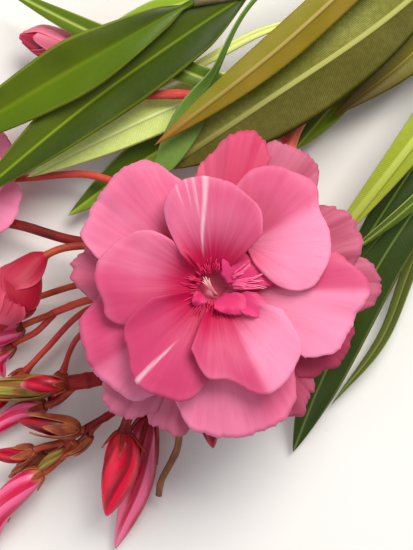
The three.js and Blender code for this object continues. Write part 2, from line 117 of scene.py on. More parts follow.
def stretch(height):
    """How much a length at this height grows to look as long as one on the bloom's level."""
    return (EYE - height) / (EYE - BLOOM_LEVEL)


def seen(place):
    """A place at height z that shows at (x, y) of the bloom's level when seen from the eye."""
    x, y, z = place
    return Vector((x * stretch(z) - MIDDLE[0], y * stretch(z) - MIDDLE[1], z))


def smooth(value, low, high):
    share = min(max((value - low) / (high - low), 0.0), 1.0)
    return share * share * (3 - 2 * share)


def mixed(one, other, share):
    return one + (other - one) * share


def through(values, share):
    """A smooth line through evenly spaced values."""
    place = min(max(share, 0.0), 1.0) * (len(values) - 1)
    low = min(int(place), len(values) - 2)
    rest = place - low
    before = values[max(low - 1, 0)]
    start = values[low]
    end = values[low + 1]
    after = values[min(low + 2, len(values) - 1)]
    return start + 0.5 * rest * (
        end - before + rest * (
            2 * before - 5 * start + 4 * end - after + rest * (3 * (start - end) + after - before)))


class Path:
    """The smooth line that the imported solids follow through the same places."""

    STEP = 1e-4
    LENGTH_STEPS = 40

    def __init__(self, places):
        points = [seen(place) for place in places]
        first = 2 * points[0] - points[1]
        last = 2 * points[-1] - points[-2]
        padded = [first, *points, last]
        self.spans = [self.span(*padded[i:i + 4]) for i in range(len(points) - 1)]
        marks = [self.point(i / self.LENGTH_STEPS) for i in range(self.LENGTH_STEPS + 1)]
        self.length = sum((end - start).length for start, end in zip(marks, marks[1:]))

    @staticmethod
    def span(before, start, end, after):
        one = (start - before).length_squared ** 0.25
        two = (end - start).length_squared ** 0.25
        three = (after - end).length_squared ** 0.25
        leave = (start - before) / one - (end - before) / (one + two) + (end - start) / two
        arrive = (end - start) / two - (after - start) / (two + three) + (after - end) / three
        leave *= two
        arrive *= two
        return (start, leave, 3 * (end - start) - 2 * leave - arrive, 2 * (start - end) + leave + arrive)

    def point(self, t):
        inside = min(max(t, 0.0), 1.0)
        place = inside * len(self.spans)
        index = min(int(place), len(self.spans) - 1)
        rest = place - index
        a, b, c, d = self.spans[index]
        found = a + rest * (b + rest * (c + rest * d))
        if t != inside:
            found = found + self.along(inside) * (t - inside) * self.length
        return found

    def along(self, t):
        low = max(t - self.STEP, 0.0)
        high = min(t + self.STEP, 1.0)
        return (self.point(high) - self.point(low)).normalized()

    def frame(self, t):
        """The place at t and the directions to the side, up and along."""
        along = self.along(min(max(t, 0.0), 1.0))
        side = Vector((along.y, -along.x, 0)).normalized()
        return self.point(t), side, side.cross(along), along


# Making meshes

def sheet(columns, rows, place, marks=None):
    """A grid of faces, moved to place(u, v) with u and v from 0 to 1. marks(u, v) is kept on its points."""
    bm = bmesh.new()
    bm.loops.layers.uv.new("UVMap")
    bmesh.ops.create_grid(bm, x_segments=columns, y_segments=rows, size=0.5, calc_uvs=True)
    kept = bm.verts.layers.float_vector.new("marks")
    for vertex in bm.verts:
        u = vertex.co.x + 0.5
        v = vertex.co.y + 0.5
        vertex.co = place(u, v)
        if marks:
            vertex[kept] = marks(u, v)
    return bm


def closed(bm):
    """Closes the seam and the ends of a grid that goes once round."""
    bmesh.ops.remove_doubles(bm, verts=bm.verts, dist=SAME_POINT)
    bmesh.ops.holes_fill(bm, edges=bm.edges, sides=0)
    bmesh.ops.recalc_face_normals(bm, faces=bm.faces)
    return bm


def thickened(bm, thickness):
    """Gives a sheet a wall, with its middle where the sheet was."""
    bm.normal_update()
    for vertex, move in [(v, v.normal * thickness / 2) for v in bm.verts]:
        vertex.co += move
    bmesh.ops.solidify(bm, geom=bm.faces[:], thickness=thickness)
    bmesh.ops.recalc_face_normals(bm, faces=bm.faces)
    return bm


def tube(path, radius, columns, rows, flat=1.0, reach=(0.0, 1.0)):
    """A closed round piece along a path, with radius(turn, v) as its thickness."""
    def place(u, v):
        centre, side, up, _ = path.frame(mixed(*reach, v))
        angle = FULL_TURN * (u % 1.0)
        size = radius(u % 1.0, v)
        return centre + side * size * math.cos(angle) + up * size * flat * math.sin(angle)

    return closed(sheet(columns, rows, place))


def wrap(path, radius, turn, reach, half_width, lift, twist, flat, columns=10, rows=18, thickness=0.25):
    """A blade laid round a path, such as a sepal or a folded petal. Its turn is in shares of a full turn."""
    def place(u, v):
        t = mixed(*reach, v)
        centre, side, up, _ = path.frame(t)
        size = radius(t) + lift(u, v)
        angle = FULL_TURN * (turn + twist * v) + (2 * u - 1) * half_width(v) / max(size, THINNEST_CORE)
        return centre + side * size * math.cos(angle) + up * size * flat * math.sin(angle)

    return thickened(sheet(columns, rows, place, lambda u, v: (2 * u - 1, v, turn)), thickness)


class Piece:
    """A piece of the branch, put together from shapes and their materials."""

    def __init__(self, name, slot, *nodes):
        self.name = name
        self.slot = slot
        self.nodes = nodes
        self.bm = bmesh.new()
        self.materials = []

    def add(self, shape, material):
        if material not in self.materials:
            self.materials.append(material)
        index = self.materials.index(material)
        for face in shape.faces:
            face.material_index = index
            face.smooth = True
        mesh = bpy.data.meshes.new("shape")
        shape.to_mesh(mesh)
        shape.free()
        self.bm.from_mesh(mesh)
        bpy.data.meshes.remove(mesh)

    def finish(self):
        for vertex in self.bm.verts:
            vertex.co.z = max(vertex.co.z, FLOOR_GAP)
        bmesh.ops.scale(self.bm, verts=self.bm.verts, vec=(MM, MM, MM))
        mesh = bpy.data.meshes.new(self.name)
        for material in self.materials:
            mesh.materials.append(material)
        self.bm.to_mesh(mesh)
        self.bm.free()
        piece = bpy.data.objects.new(self.name, mesh)
        bpy.context.scene.collection.objects.link(piece)
        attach(piece, "root")
        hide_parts(*self.nodes)


# Materials

SHEEN_ROUGHNESS = 0.4
LEAF_GLOSS = 0.3
STALK_ROUGHNESS = 0.42
PETAL_FLUSH = 0.45     # how much a petal's paleness goes up and down over its face
HALF_EDGE = 0.3        # how soft the change of tone is at a leaf's midrib


class Finish:
    """A material, put together one node at a time."""

    def __init__(self, name):
        self.material = bpy.data.materials.new(name)
        self.material.use_nodes = True
        self.nodes = self.material.node_tree.nodes
        self.links = self.material.node_tree.links
        self.nodes.clear()

    def put(self, socket, value):
        if isinstance(value, bpy.types.NodeSocket):
            self.links.new(value, socket)
        elif socket.type == "RGBA":
            socket.default_value = (*value[:3], 1.0)
        else:
            socket.default_value = value

    def node(self, kind, settings=None, **inputs):
        made = self.nodes.new(kind)
        for name, value in (settings or {}).items():
            setattr(made, name, value)
        for name, value in inputs.items():
            self.put(made.inputs[name.replace("_", " ")], value)
        return made

    def worked_out(self, operation, *values):
        made = self.node("ShaderNodeMath", {"operation": operation})
        for socket, value in zip(made.inputs, values):
            self.put(socket, value)
        return made.outputs[0]

    def plus(self, one, other):
        return self.worked_out("ADD", one, other)

    def less(self, one, other):
        return self.worked_out("SUBTRACT", one, other)

    def times(self, one, other):
        return self.worked_out("MULTIPLY", one, other)

    def swing(self, pattern, amount):
        """How far a pattern is off its middle value, times an amount."""
        return self.times(self.less(pattern, 0.5), amount)

    def blend(self, share, one, other, way="MIX"):
        made = self.node("ShaderNodeMix", {"data_type": "RGBA", "blend_type": way})
        self.put(made.inputs[0], share)
        self.put(made.inputs[6], one)
        self.put(made.inputs[7], other)
        return made.outputs[2]

    def tinted(self, colour, tint):
        return self.blend(1.0, colour, tint, "MULTIPLY")

    def ease(self, value, low, high, start=0.0, end=1.0):
        """Goes smoothly from start to end as a value goes from low to high."""
        made = self.node("ShaderNodeMapRange", {"interpolation_type": "SMOOTHSTEP"}, Value=value)
        for place, limit in zip(range(1, 5), (low, high, start, end)):
            made.inputs[place].default_value = limit
        return made.outputs[0]

    def over(self, skin, colour, *easing):
        """A colour laid over a skin as far as ease(*easing) says."""
        return self.blend(self.ease(*easing), skin, colour)

    def split(self, vector):
        return self.node("ShaderNodeSeparateXYZ", Vector=vector).outputs

    def uv(self):
        found = self.split(self.node("ShaderNodeUVMap", {"uv_map": "UVMap"}).outputs[0])
        return found[0], found[1]

    def marks(self):
        found = self.node("ShaderNodeAttribute", {"attribute_name": "marks"})
        return tuple(self.split(found.outputs["Vector"]))

    def join(self, x, y, z=0.0):
        return self.node("ShaderNodeCombineXYZ", X=x, Y=y, Z=z).outputs[0]

    def place(self):
        return self.node("ShaderNodeTexCoord").outputs["Object"]

    def cloud(self, vector, scale, detail=3.0, roughness=0.55):
        made = self.node("ShaderNodeTexNoise", Vector=vector, Scale=scale, Detail=detail, Roughness=roughness)
        return made.outputs["Fac"]

    def fibres(self, across, along, own, detail, roughness):
        """Fine lines of a piece, from two values that go across and along it and a number of its own."""
        return self.cloud(self.join(across, along, own), 1.0, detail, roughness)

    def round_fibres(self, across, length, *pattern):
        """A pattern drawn out along a round piece, whose UV goes round and along."""
        turn, along = self.uv()
        angle = self.times(turn, FULL_TURN)
        x = self.times(self.worked_out("COSINE", angle), across)
        y = self.times(self.worked_out("SINE", angle), across)
        return self.cloud(self.join(x, y, self.times(along, length)), *pattern)

    def line(self, value, width):
        """1 where a value is 0, fading to 0 where it is width away."""
        return self.ease(self.worked_out("ABSOLUTE", value), 0.0, width, 1.0, 0.0)

    def stripes(self, phase, width):
        """Lines where a phase is whole, of this share of their spacing."""
        return self.ease(self.worked_out("PINGPONG", phase, 0.5), 0.0, width, 1.0, 0.0)

    def bump(self, height, strength, distance=0.0002):
        made = self.node("ShaderNodeBump", Height=height, Strength=strength, Distance=distance)
        return made.outputs["Normal"]

    def done(self, colour, roughness, normal=None, see_through=0.0, sheen=0.0, shine=0.5):
        """Ends the material in a plain shader, with some light let through where see_through says."""
        relief = {} if normal is None else {"Normal": normal}
        surface = self.node(
            "ShaderNodeBsdfPrincipled", Base_Color=colour, Roughness=roughness, Specular_IOR_Level=shine,
            Sheen_Weight=sheen, Sheen_Roughness=SHEEN_ROUGHNESS, **relief).outputs[0]
        if see_through:
            behind = self.node("ShaderNodeBsdfTranslucent", Color=colour, **relief).outputs[0]
            both = self.node("ShaderNodeMixShader", Fac=see_through)
            self.links.new(surface, both.inputs[1])
            self.links.new(behind, both.inputs[2])
            surface = both.outputs[0]
        self.node("ShaderNodeOutputMaterial", Surface=surface)
        return self.material


def leaf_finish(name, top, top_bright, rib, back, back_rib, rib_width=0.45, back_rib_width=0.6, veins=0.03,
                margin=None, half_shading=None, back_halves=None, tip=None, back_veins=0.55, node_shade=0.0):
    """Both sides of a leaf. Marks hold the distance across from the midrib, the place along and the side.

    Margin is a colour for the rim, and halves a colour and share for the upper side's half on one side of the
    midrib: painted light and shade, which makes that half of the folded blade lighter on some leaves and
    darker on others. Back_halves is a tint for the same half below, and tip a colour with the shares of the
    leaf's length between which it sets in. Node_shade is how much darker the upper side is near its node.
    """
    make = Finish(name)
    across, along, upper = make.marks()
    lower = make.less(1.0, upper)
    from_rib = make.worked_out("ABSOLUTE", across)
    turn, out = make.uv()
    place = make.place()
    patches = make.cloud(place, 60, 2)
    grain = make.cloud(place, 900, 3)

    def side_veins(slant, spacing, width, bend, *pattern):
        """Veins that leave the midrib at a slant, bent by a pattern."""
        straight = make.worked_out("DIVIDE", make.less(along, make.times(from_rib, slant)), spacing)
        return make.stripes(make.plus(straight, make.times(make.cloud(place, *pattern), bend)), width)

    # Upper side: hardly visible side veins at a wide angle, and a pale midrib
    top_veins = side_veins(0.45, 0.75, 0.3, 0.5, 260, 2)
    green = make.over(top, top_bright, patches, 0.2, 0.8, 0.15, 0.7)
    green = make.over(green, top_bright, from_rib, 0.4, 3.4, 0.3, 0.0)
    green = make.blend(make.times(top_veins, veins), green, rib)
    green = make.blend(make.times(make.line(from_rib, rib_width), 0.85), green, rib)
    if node_shade:
        green = make.over(green, make.tinted(green, (0.4, 0.44, 0.3)), out, 0.25, 0.75, node_shade, 0.0)
    # Painted light and shade: one half of the upper side beside the midrib takes its own colour
    if half_shading:
        green = make.over(green, half_shading[0], across, HALF_EDGE, -HALF_EDGE, 0.0, half_shading[1])
    # Underside: crowded short dark veins and a broad pale midrib with a shadow beside it
    back_lines = side_veins(0.25, 0.4, 0.42, 1.1, 420, 3)
    dark_back = make.tinted(back, (0.42, 0.45, 0.36))
    below = make.over(back, make.blend(0.35, back, back_rib), patches, 0.3, 0.7)
    vein_share = make.times(back_lines, make.ease(grain, 0.3, 0.62, 0.25 * back_veins, back_veins))
    below = make.blend(vein_share, below, dark_back)
    # A tint on one half of the underside beside the midrib; on the olive_back leaf it darkens that half as
    # painted shade
    if back_halves:
        below = make.over(below, make.tinted(below, back_halves), across, HALF_EDGE, -HALF_EDGE)
    if back_rib_width:
        rib_share = make.ease(from_rib, 0.6 * back_rib_width, back_rib_width, 0.95, 0.0)
        rib_share = make.times(rib_share, make.ease(out, 0.98, 0.5, 0.35, 1.0))
        below = make.blend(rib_share, below, back_rib)
        shadow = make.line(make.plus(across, 1.05 * back_rib_width), 0.35)
        below = make.blend(make.times(shadow, 0.5), below, dark_back)
    colour = make.blend(upper, below, green)
    if margin:
        colour = make.over(colour, margin, make.worked_out("PINGPONG", turn, 0.25), 0.024, 0.008, 0.0, 0.7)
    if tip:
        colour = make.over(colour, tip[0], make.plus(out, make.swing(patches, 0.25)), *tip[1:])
    relief = make.plus(make.times(top_veins, 0.06), make.times(grain, 0.25))
    relief_below = make.plus(make.times(back_lines, -0.6), grain)
    height = make.plus(make.times(upper, relief), make.times(lower, relief_below))
    rough = make.plus(make.ease(grain, 0.3, 0.7, LEAF_GLOSS, LEAF_GLOSS + 0.12), make.times(lower, 0.24))
    return make.done(colour, rough, make.bump(height, 0.3), 0.1, shine=0.22)


def petal_finish(name, tone, pale, throat, streaks=()):
    """A petal. UV goes across and out, marks hold paleness, distance from the axis and its own number.

    A streak is a pale line: where it ends across the rim and at the root, its width, where it starts
    along the petal and its strength.
    """
    make = Finish(name)
    share, out = make.uv()
    paleness, reach, own = make.marks()
    flush = make.cloud(make.place(), 75, 2)
    lines = make.fibres(make.times(share, 26.0), make.times(out, 1.3), own, 3, 0.5)
    fine = make.fibres(make.times(share, 95.0), make.times(out, 5.0), own, 3, 0.6)
    # On bloom petals paleness carries painted light and shade on the two sides of the crease; the flush and
    # the lines move it up and down
    light = make.plus(paleness, make.swing(flush, PETAL_FLUSH))
    light = make.plus(light, make.swing(lines, 0.2))
    pink = make.over(tone, pale, light, 0.0, 1.0)
    pink = make.over(pink, make.blend(0.4, tone, throat), fine, 0.54, 0.72, 0.0, 0.14)
    heart = make.plus(reach, make.swing(lines, 4.5))
    pink = make.over(pink, make.blend(0.35, tone, throat), heart, 8.0, 18.0, 0.6, 0.0)
    pink = make.over(pink, throat, heart, 6.5, 13.0, 0.95, 0.0)
    bend = make.worked_out("POWER", make.less(1.0, out), 2.0)
    for at_rim, at_root, width, start, strength in streaks:
        middle = make.plus(at_rim, make.times(bend, at_root - at_rim))
        middle = make.plus(middle, make.swing(lines, 0.02))
        band = make.line(make.less(share, middle), width)
        band = make.times(band, make.ease(out, start, start + 0.25))
        band = make.times(band, make.ease(fine, 0.3, 0.6, 0.6, 1.0))
        pink = make.blend(make.times(band, strength), pink, srgb(255, 222, 234))
    height = make.plus(lines, make.times(fine, 0.4))
    rough = make.ease(fine, 0.3, 0.7, 0.44, 0.56)
    return make.done(pink, rough, make.bump(height, 0.14, 0.00025), 0.3, sheen=0.1, shine=0.25)


def stalk_finish(name, colour, dark, pale):
    """A smooth stalk with fine lines along it."""
    make = Finish(name)
    lines = make.round_fibres(6.0, 5.0, 1.0, 4, 0.6)
    place = make.place()
    specks = make.cloud(place, 1500, 2)
    skin = make.over(dark, colour, make.cloud(place, 130, 2), 0.32, 0.7)
    skin = make.over(skin, pale, lines, 0.5, 0.75, 0.0, 0.45)
    skin = make.over(skin, pale, specks, 0.62, 0.74, 0.0, 0.35)
    height = make.plus(lines, make.times(specks, 0.4))
    rough = make.ease(lines, 0.3, 0.7, STALK_ROUGHNESS, STALK_ROUGHNESS + 0.14)
    return make.done(skin, rough, make.bump(height, 0.4), shine=0.3)


def bark_finish(name, colour):
    """Ridged bark with corky spots and greenish patches."""
    make = Finish(name)
    ridges = make.round_fibres(3.0, 7.0, 1.4, 6, 0.65)
    place = make.place()
    patches = make.cloud(place, 90, 3)
    spots = make.node("ShaderNodeTexVoronoi", Vector=place, Scale=420.0).outputs["Distance"]
    corky = make.times(make.ease(spots, 0.1, 0.24, 1.0, 0.0), make.ease(patches, 0.45, 0.6))
    wood = make.over(srgb(84, 92, 48), colour, patches, 0.34, 0.66)
    wood = make.over(wood, srgb(150, 128, 92), ridges, 0.45, 0.7, 0.0, 0.6)
    wood = make.blend(corky, wood, srgb(176, 156, 120))
    height = make.plus(ridges, make.times(corky, 0.5))
    return make.done(wood, make.ease(ridges, 0.3, 0.7, 0.62, 0.85), make.bump(height, 0.8, 0.0005))


def bud_finish(name, light, deep, foot, tip, turns, split=0.5):
    """A closed bud with its petals rolled round each other. UV goes round and along its body."""
    make = Finish(name)
    turn, along = make.uv()
    phase = make.plus(make.times(turn, PETALS), make.times(along, turns * PETALS))
    rolled = make.worked_out("FRACT", phase)
    patches = make.cloud(make.place(), 200, 2)
    lines = make.fibres(make.times(phase, 9.0), make.times(along, 3.0), 0.0, 4, 0.6)
    share = make.plus(rolled, make.swing(patches, 0.35))
    skin = make.over(light, deep, share, split - 0.22, split + 0.22)
    # Painted shadow: a near-black band in the seam where each rolled petal tucks under the edge of the next
    skin = make.over(skin, make.blend(0.6, deep, (0.05, 0, 0.01)), rolled, 0.0, 0.07, 0.75, 0.0)
    skin = make.over(skin, light, lines, 0.5, 0.72, 0.0, 0.3)
    skin = make.over(skin, foot, along, 0.04, 0.2, 0.85, 0.0)
    skin = make.over(skin, tip, along, 0.8, 1.0, 0.0, 0.7)
    return make.done(skin, make.ease(lines, 0.3, 0.7, 0.24, 0.36), make.bump(lines, 0.25), 0.08, shine=0.35)


def sepal_finish(name, colour, dark, edge):
    """A sepal. Marks hold the place across, from -1 to 1, the place along and its own number."""
    make = Finish(name)
    across, along, own = make.marks()
    lines = make.fibres(make.times(across, 7.0), make.times(along, 3.0), own, 4, 0.6)
    skin = make.over(dark, colour, make.cloud(make.place(), 240, 2), 0.33, 0.68)
    skin = make.over(skin, edge, lines, 0.48, 0.72, 0.0, 0.5)
    skin = make.over(skin, edge, make.worked_out("ABSOLUTE", across), 0.8, 1.0, 0.0, 0.35)
    skin = make.over(skin, edge, along, 0.75, 1.0, 0.0, 0.6)
    return make.done(skin, make.ease(lines, 0.3, 0.7, 0.4, 0.55), make.bump(lines, 0.4), 0.1, shine=0.25)


def fringe_finish(name, deep, pale):
    """A thread or the throat's wall. Marks hold how far along it a place is."""
    make = Finish(name)
    patches = make.cloud(make.place(), 600, 2)
    share = make.plus(make.marks()[0], make.swing(patches, 0.5))
    skin = make.over(deep, pale, share, 0.35, 1.05)
    return make.done(skin, make.ease(patches, 0.3, 0.7, 0.4, 0.55), make.bump(patches, 0.3), 0.2)


# The branch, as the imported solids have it

STEM_FOOT = 4.0
STEM_TOP = 2.3
STALK_TOP = 1.3
CUP_STALK = 0.9
CUP_FLARE = 1.4
SIDE_SCALE = 0.56
GAP = 0.3
STEM_JOINTS = (0.25, 0.37, 0.5, 0.62, 0.76, 0.9)
STALK_JOINTS = (0.3, 0.55, 0.8)
PETALS = 5              # rolled petals of a bud, sepals round it and lobes of a throat
STRAND_GRID = (5, 7)    # a grid is the number of faces round or across, and along
STRAND_FLATNESS = 0.5
STEM_GRID = (32, 150)
LIMB_GRID = (18, 80)
THROAT_GRID = (40, 60)
AXIS_GAP = 0.001        # keeps the ends of the throat's outline off its axis

# A leaf's section: heights and widths in millimetres, or shares of its half width where a name ends in SHARE
LEAF_GRID = (36, 90)
LEAF_STALK = 0.9
LEAF_FULLNESS = 0.85    # under 1, a leaf keeps its width longer towards both ends
DOME_SHARE = 0.035
WAVE_SHARE = 0.045
FOLD_ROUNDING = 0.2
MIDRIB_HEIGHT = 0.32
MIDRIB_WIDTH = 0.6
MIDRIB_CROWDING = 1.25  # over 1, the mesh has more points near the midrib
GROOVE_DEPTH = 0.16
GROOVE_WIDTH = 0.35
STALK_END = 0.09        # where the stalk becomes the blade, along the leaf
STALK_WALL = 0.8
RIM = 0.999             # share of the half width beyond which both sides meet

# A petal of a bloom
PETAL_GRID = (72, 26)
PETAL_ROOT = 4.0
OUTLINE_DRIFT = 0.014
TOOTH_ANGLE = 80        # degrees of the rim over which the teeth's pattern runs
CREASE = 0.9

# Buds and half-open flowers
BUD_FULLNESS = 0.8
BUD_TWIST = 0.32
BUD_RIDGE = 0.07
BUD_GRID = (60, 56)
BUD_STALK_GRID = (12, 36)
BRACT_GRID = (24, 28)
TUBE = 0.9
TUBE_GRID = (12, 30)
CORE_GRID = (48, 44)
FOLD_GRID = (30, 30)
FOLD_TWIST = 0.05
FOLD_WALL = 0.24
PETAL_LAYER = 0.13
BUD_SEED = 100
OPENING_SEED = 70

NODES = [
    (37, 50, 12.5), (49, 62.5, 12), (61.5, 75.5, 10.5), (73.5, 88.5, 8.5), (85.5, 102, 6.5), (97.5, 115, 5),
]
CUT_END = (108.5, 127, STEM_FOOT)
STEM_END = (26, 40, 13)
STALK_START = (29, 42.7, 13)
HUB = (-9, 3, 13)
FAR_HUB = (-9, -20.5, 12)
SHOOT_END = (-3, 60, 20.7)
BLOOM_AXIS = (1.5, -2.5, BLOOM_LEVEL)
BLOOM_FOOT = 23.8
BLOOM_MOUTH = 36.5

STEM_PATH = [CUT_END, NODES[4], NODES[2], NODES[0], STEM_END]
# Limbs: places, radius at the foot and at the end, slot and finish
LIMBS = {
    "flower_stalk": ([STALK_START, (20.5, 34, 13), (17, 26, 13), (5, 13, 13.5), HUB, (-10.5, -9, 12.5),
                      FAR_HUB], STEM_TOP - GAP, STALK_TOP, "stalk", "pale_stalk"),
    "side_shoot": ([(59.5, 75.8, 11), (45, 74.5, 15), (28, 69.5, 17.5), (10.5, 62.5, 18.4), SHOOT_END],
                   1.7, 1.1, "bark", "bark"),
    "upper_branch": ([(18.5, 29.5, 13.3), (8, 34.8, 16), (-1.5, 39.2, 16.6), (-16, 39.6, 16)],
                     1.3, 1.1, "stalk", "stalk"),
    "left_branch": ([(-9.8, -2, 12.7), (-18, -4, 12), (-27, -5.8, 11), (-34, -8.5, 9.5)],
                    1.0, 0.9, "stalk", "stalk"),
    "lower_branch": ([(-10.2, -13, 12.3), (-15, -19.5, 12), (-23, -22.5, 12.5), (-31, -24, 12.5)],
                     1.6, 1.9, "stalk", "red_stalk"),
    "low_branch": ([(-9.2, -19, 12), (-14, -25.5, 11.5), (-21, -30.5, 11), (-26.5, -33.7, 11), (-32, -37, 9)],
                   1.0, 0.9, "stalk", "red_stalk"),
    "dry_stalk": ([(-9, -19.5, 12), (-6.5, -30, 11), (-6.3, -37.5, 9.5), (-10, -45.5, 7.5),
                   (-10.5, -48.5, 6.5)], 1.0, 0.8, "dry_stalk", "dry"),
}
SIDE_AXIS = (-56.5, 20.3, 12.5)
SIDE_FOOT = SIDE_AXIS[2] + SIDE_SCALE * (BLOOM_FOOT - BLOOM_MOUTH)
# Stalks that end in a cup: places, and the height of the flower's foot above it
CUP_STALKS = {
    "bloom_stalk": ([(-6.5, 6, 13.5), (-2, 1, 15), (1.4, -2.4, 18.5)], BLOOM_FOOT),
    "side_bloom_stalk": ([(-5, 8, 12), (-13, 16.5, 11), (-25, 21.9, 9.5), (-39, 21.4, 8), (-51, 20.6, 3.2),
                          (-56.4, 20.4, 3)], SIDE_FOOT),
}

# Leaves: the places from node to tip, the width, the finish and what differs from a plain leaf
LEAVES = {
    "leaf_01": ([(22, 35.5, 13), (8, 40, 16.8), (-24, 52.8, 14.7), (-46, 63.8, 12)], 5.8, "slim", {}),
    "leaf_02": ([SHOOT_END, (-9, 57, 22), (-22, 49.5, 22.6), (-35, 42, 21.7), (-61, 26.5, 19.5)],
                13.4, "broad", {"belly": 0.66}),
    "leaf_03": ([(10, 62.3, 18.4), (-2, 54.5, 18.8), (-26, 37.5, 19), (-51, 17, 21.6)], 14, "dark", {}),
    "leaf_04": ([NODES[0], (20, 44.5, 14), (-3.5, 38.4, 13.3), (-22.5, 30, 12.6), (-39.5, 21.5, 12)],
                9.8, "pale_lit_back", {"under": True}),
    "leaf_05": ([NODES[4], (49, 79, 22), (14.3, 48.6, 27), (-11.5, 28.5, 27)],
                8.4, "olive", {"under": True, "fold": 0.3, "belly": 0.57}),
    "leaf_06": ([NODES[3], (38, 78, 23), (11, 61, 24), (0.5, 42, 22.4), (-12, 19.5, 22.9)],
                7.5, "grey", {"under": True, "belly": 0.84, "fold": 0.1, "roll": -76, "level": (0.7, 0.9)}),
    "leaf_07": ([(35, 48.5, 12.5), (14, 40, 8.5), (-12.5, 26, 7), (-30.5, 13, 5)], 11, "fresh", {}),
    "leaf_08": ([(60, 74, 10.7), (38, 55.2, 18.8), (11.5, 37.2, 20.1), (-9.5, 23.2, 19.2)],
                19, "olive_back", {"under": True, "fold": 0.1}),
    "leaf_09": ([(60, 74, 10.7), (56, 62, 9.8), (45.5, 49, 9.6), (28, 35, 10.3)], 9, "brown_tip", {}),
    "leaf_10": ([NODES[4], (79, 84, 14.5), (66, 58, 19.5), (45.4, 29.3, 22), (22.3, 0.5, 20.5)],
                10, "yellow_back", {"under": True, "belly": 0.5}),
    "leaf_11": ([NODES[5], (83, 58, 14), (48, 18.5, 17.8), (27.2, 1.5, 16.8)], 5.6, "slim", {"roll": -50}),
    "leaf_12": ([(82, 98, 7), (66, 46, 10.5), (37.5, 1.5, 12), (25, -24, 8.5), (19, -39, 2)], 11, "deep", {}),
    "leaf_13": ([(94.5, 111.8, 5.3), (84, 64, 4.5), (48, 8, 6.8), (38.6, -14.3, 5.5), (27.5, -28.5, 3)],
                5, "grey", {"roll": 52}),
    "leaf_14": ([(44.5, 58, 12), (15, 54.5, 13), (0.5, 47.5, 13.7), (-15, 38.8, 13)],
                2.4, "straw", {"fold": 0}),
    "leaf_15": ([(3, 61.2, 18.9), (-6, 59.3, 17.8), (-15, 55.6, 17.5), (-25, 51.2, 17)],
                7, "fresh_back", {"under": True}),
    "leaf_16": ([(38.5, 51.5, 12.5), (30, 40, 7.4), (19.5, 27.5, 6)], 7, "fresh", {}),
    "leaf_17": ([NODES[5], (76, 118, 14), (44, 108, 13), (14, 92, 3)], 14, "dark", {}),
    "leaf_18": ([(98, 115.5, 5), (106, 92, 11), (100, 60, 10), (86, 32, 2.5)], 13, "dark", {}),
    "leaf_19": ([(92, 108.5, 5.5), (85, 88, 10.5), (68, 58, 13), (42.1, 18.7, 14), (28, -3, 13)],
                9, "deep", {}),
}

# Whorls of the large bloom: height at the root, bow of the petals, lean of one side under the next, and
# how wide a petal is at its claw
INNER = {"root": 36.5, "bow": 1.4, "lean": 1.0, "claw": 0.95}
MIDDLE_WHORL = {"root": 35.0, "bow": 1.2, "lean": 0.8, "claw": 1.0}
OUTER = {"root": 33.5, "bow": 1.2, "lean": 0.4, "claw": 1.0}
# Their names, and how deep the teeth of their rims are
WHORLS = [("inner", INNER, 0.008), ("middle", MIDDLE_WHORL, 0.016), ("outer", OUTER, 0.022)]
# Petals: whorl, angles in degrees from +X, reaches from one side to the other, rim height, finish, and how
# pale they are on either side of the crease that stands at that share of their width, which is painted light
# and shade: one face of the fold is painted as lit and the other as shaded
BLOOM_PETALS = [
    (INNER, -8, 84, [15, 24, 28, 29.5, 30, 28, 19], 38.6, "petal", (0.9, 0.38), 0.56),
    (INNER, 47, 135, [16, 20.1, 22, 23.4, 24.5, 24.2, 20.5, 10], 42.5, "petal_streaked", (0.36, 0.46), 0.54),
    (INNER, 126, 210, [9, 18.5, 22.3, 25, 26.4, 24.7, 24, 18], 40, "petal", (0.44, 0.2), 0.54),
    (INNER, 190, 272, [14, 21.4, 23.6, 27.2, 26.8, 25.3, 18], 41, "petal_striped", (0.04, 0.14), 0.52),
    (INNER, 250, 342, [14.5, 19.8, 21, 26.5, 25.7, 23, 16], 42, "petal", (0.2, 1.0), 0.53),
    (MIDDLE_WHORL, 106, 170, [24, 31, 32.6, 32.5, 31.8, 31, 24], 36, "petal", (0.46, 0.62), 0.5),
    (MIDDLE_WHORL, 184, 246, [25, 30.2, 31.6, 32.4, 31.4, 30.5, 25], 36, "petal", (0.2, 0.55), 0.5),
    (MIDDLE_WHORL, 250, 316, [26, 31.8, 33.2, 33.7, 33.5, 31.2, 25], 35, "petal", (0.56, 0.46), 0.5),
    (MIDDLE_WHORL, 322, 376, [25.5, 30.5, 31.7, 32, 34.4, 32, 28], 36.6, "petal", (0.95, 0.2), 0.66),
    (OUTER, 158, 196, [28, 29.5, 31.5, 31.3, 28.5, 25.5, 22], 32, "petal_mauve", (0.5, 0.5), 0.5),
    (OUTER, 216, 246, [29, 32.1, 34.6, 35.5, 35, 33, 30], 31.5, "petal_mauve", (0.6, 0.6), 0.5),
    (OUTER, 240, 266, [30, 33, 33.3, 33.8, 33.4, 31, 28], 31, "petal_mauve", (0.5, 0.5), 0.5),
    (OUTER, 296, 322, [30, 33.8, 34.7, 32.8, 32.3, 29.6, 26], 31, "petal_mauve", (0.3, 0.3), 0.5),
    (OUTER, 312, 350, [27, 30, 31.4, 33.2, 32.5, 32.5, 28], 31.5, "petal_mauve", (0.0, 0.1), 0.5),
    (OUTER, 348, 376, [31, 35, 36.9, 37.2, 35.7, 33, 29], 31, "petal_mauve", (0.4, 0.5), 0.5),
    (OUTER, 8, 42, [31, 33.6, 34.4, 34.5, 33, 29.8, 26], 32, "petal_mauve", (0.45, 0.5), 0.5),
    (OUTER, 40, 74, [28, 33.3, 35.6, 35.4, 35.2, 34, 30], 31.5, "petal_mauve", (0.5, 0.6), 0.5),
    (OUTER, 66, 102, [31, 34.8, 34.8, 33.5, 29.7, 26.8, 23], 32.5, "petal_vivid", (0.1, 0.4), 0.5),
]
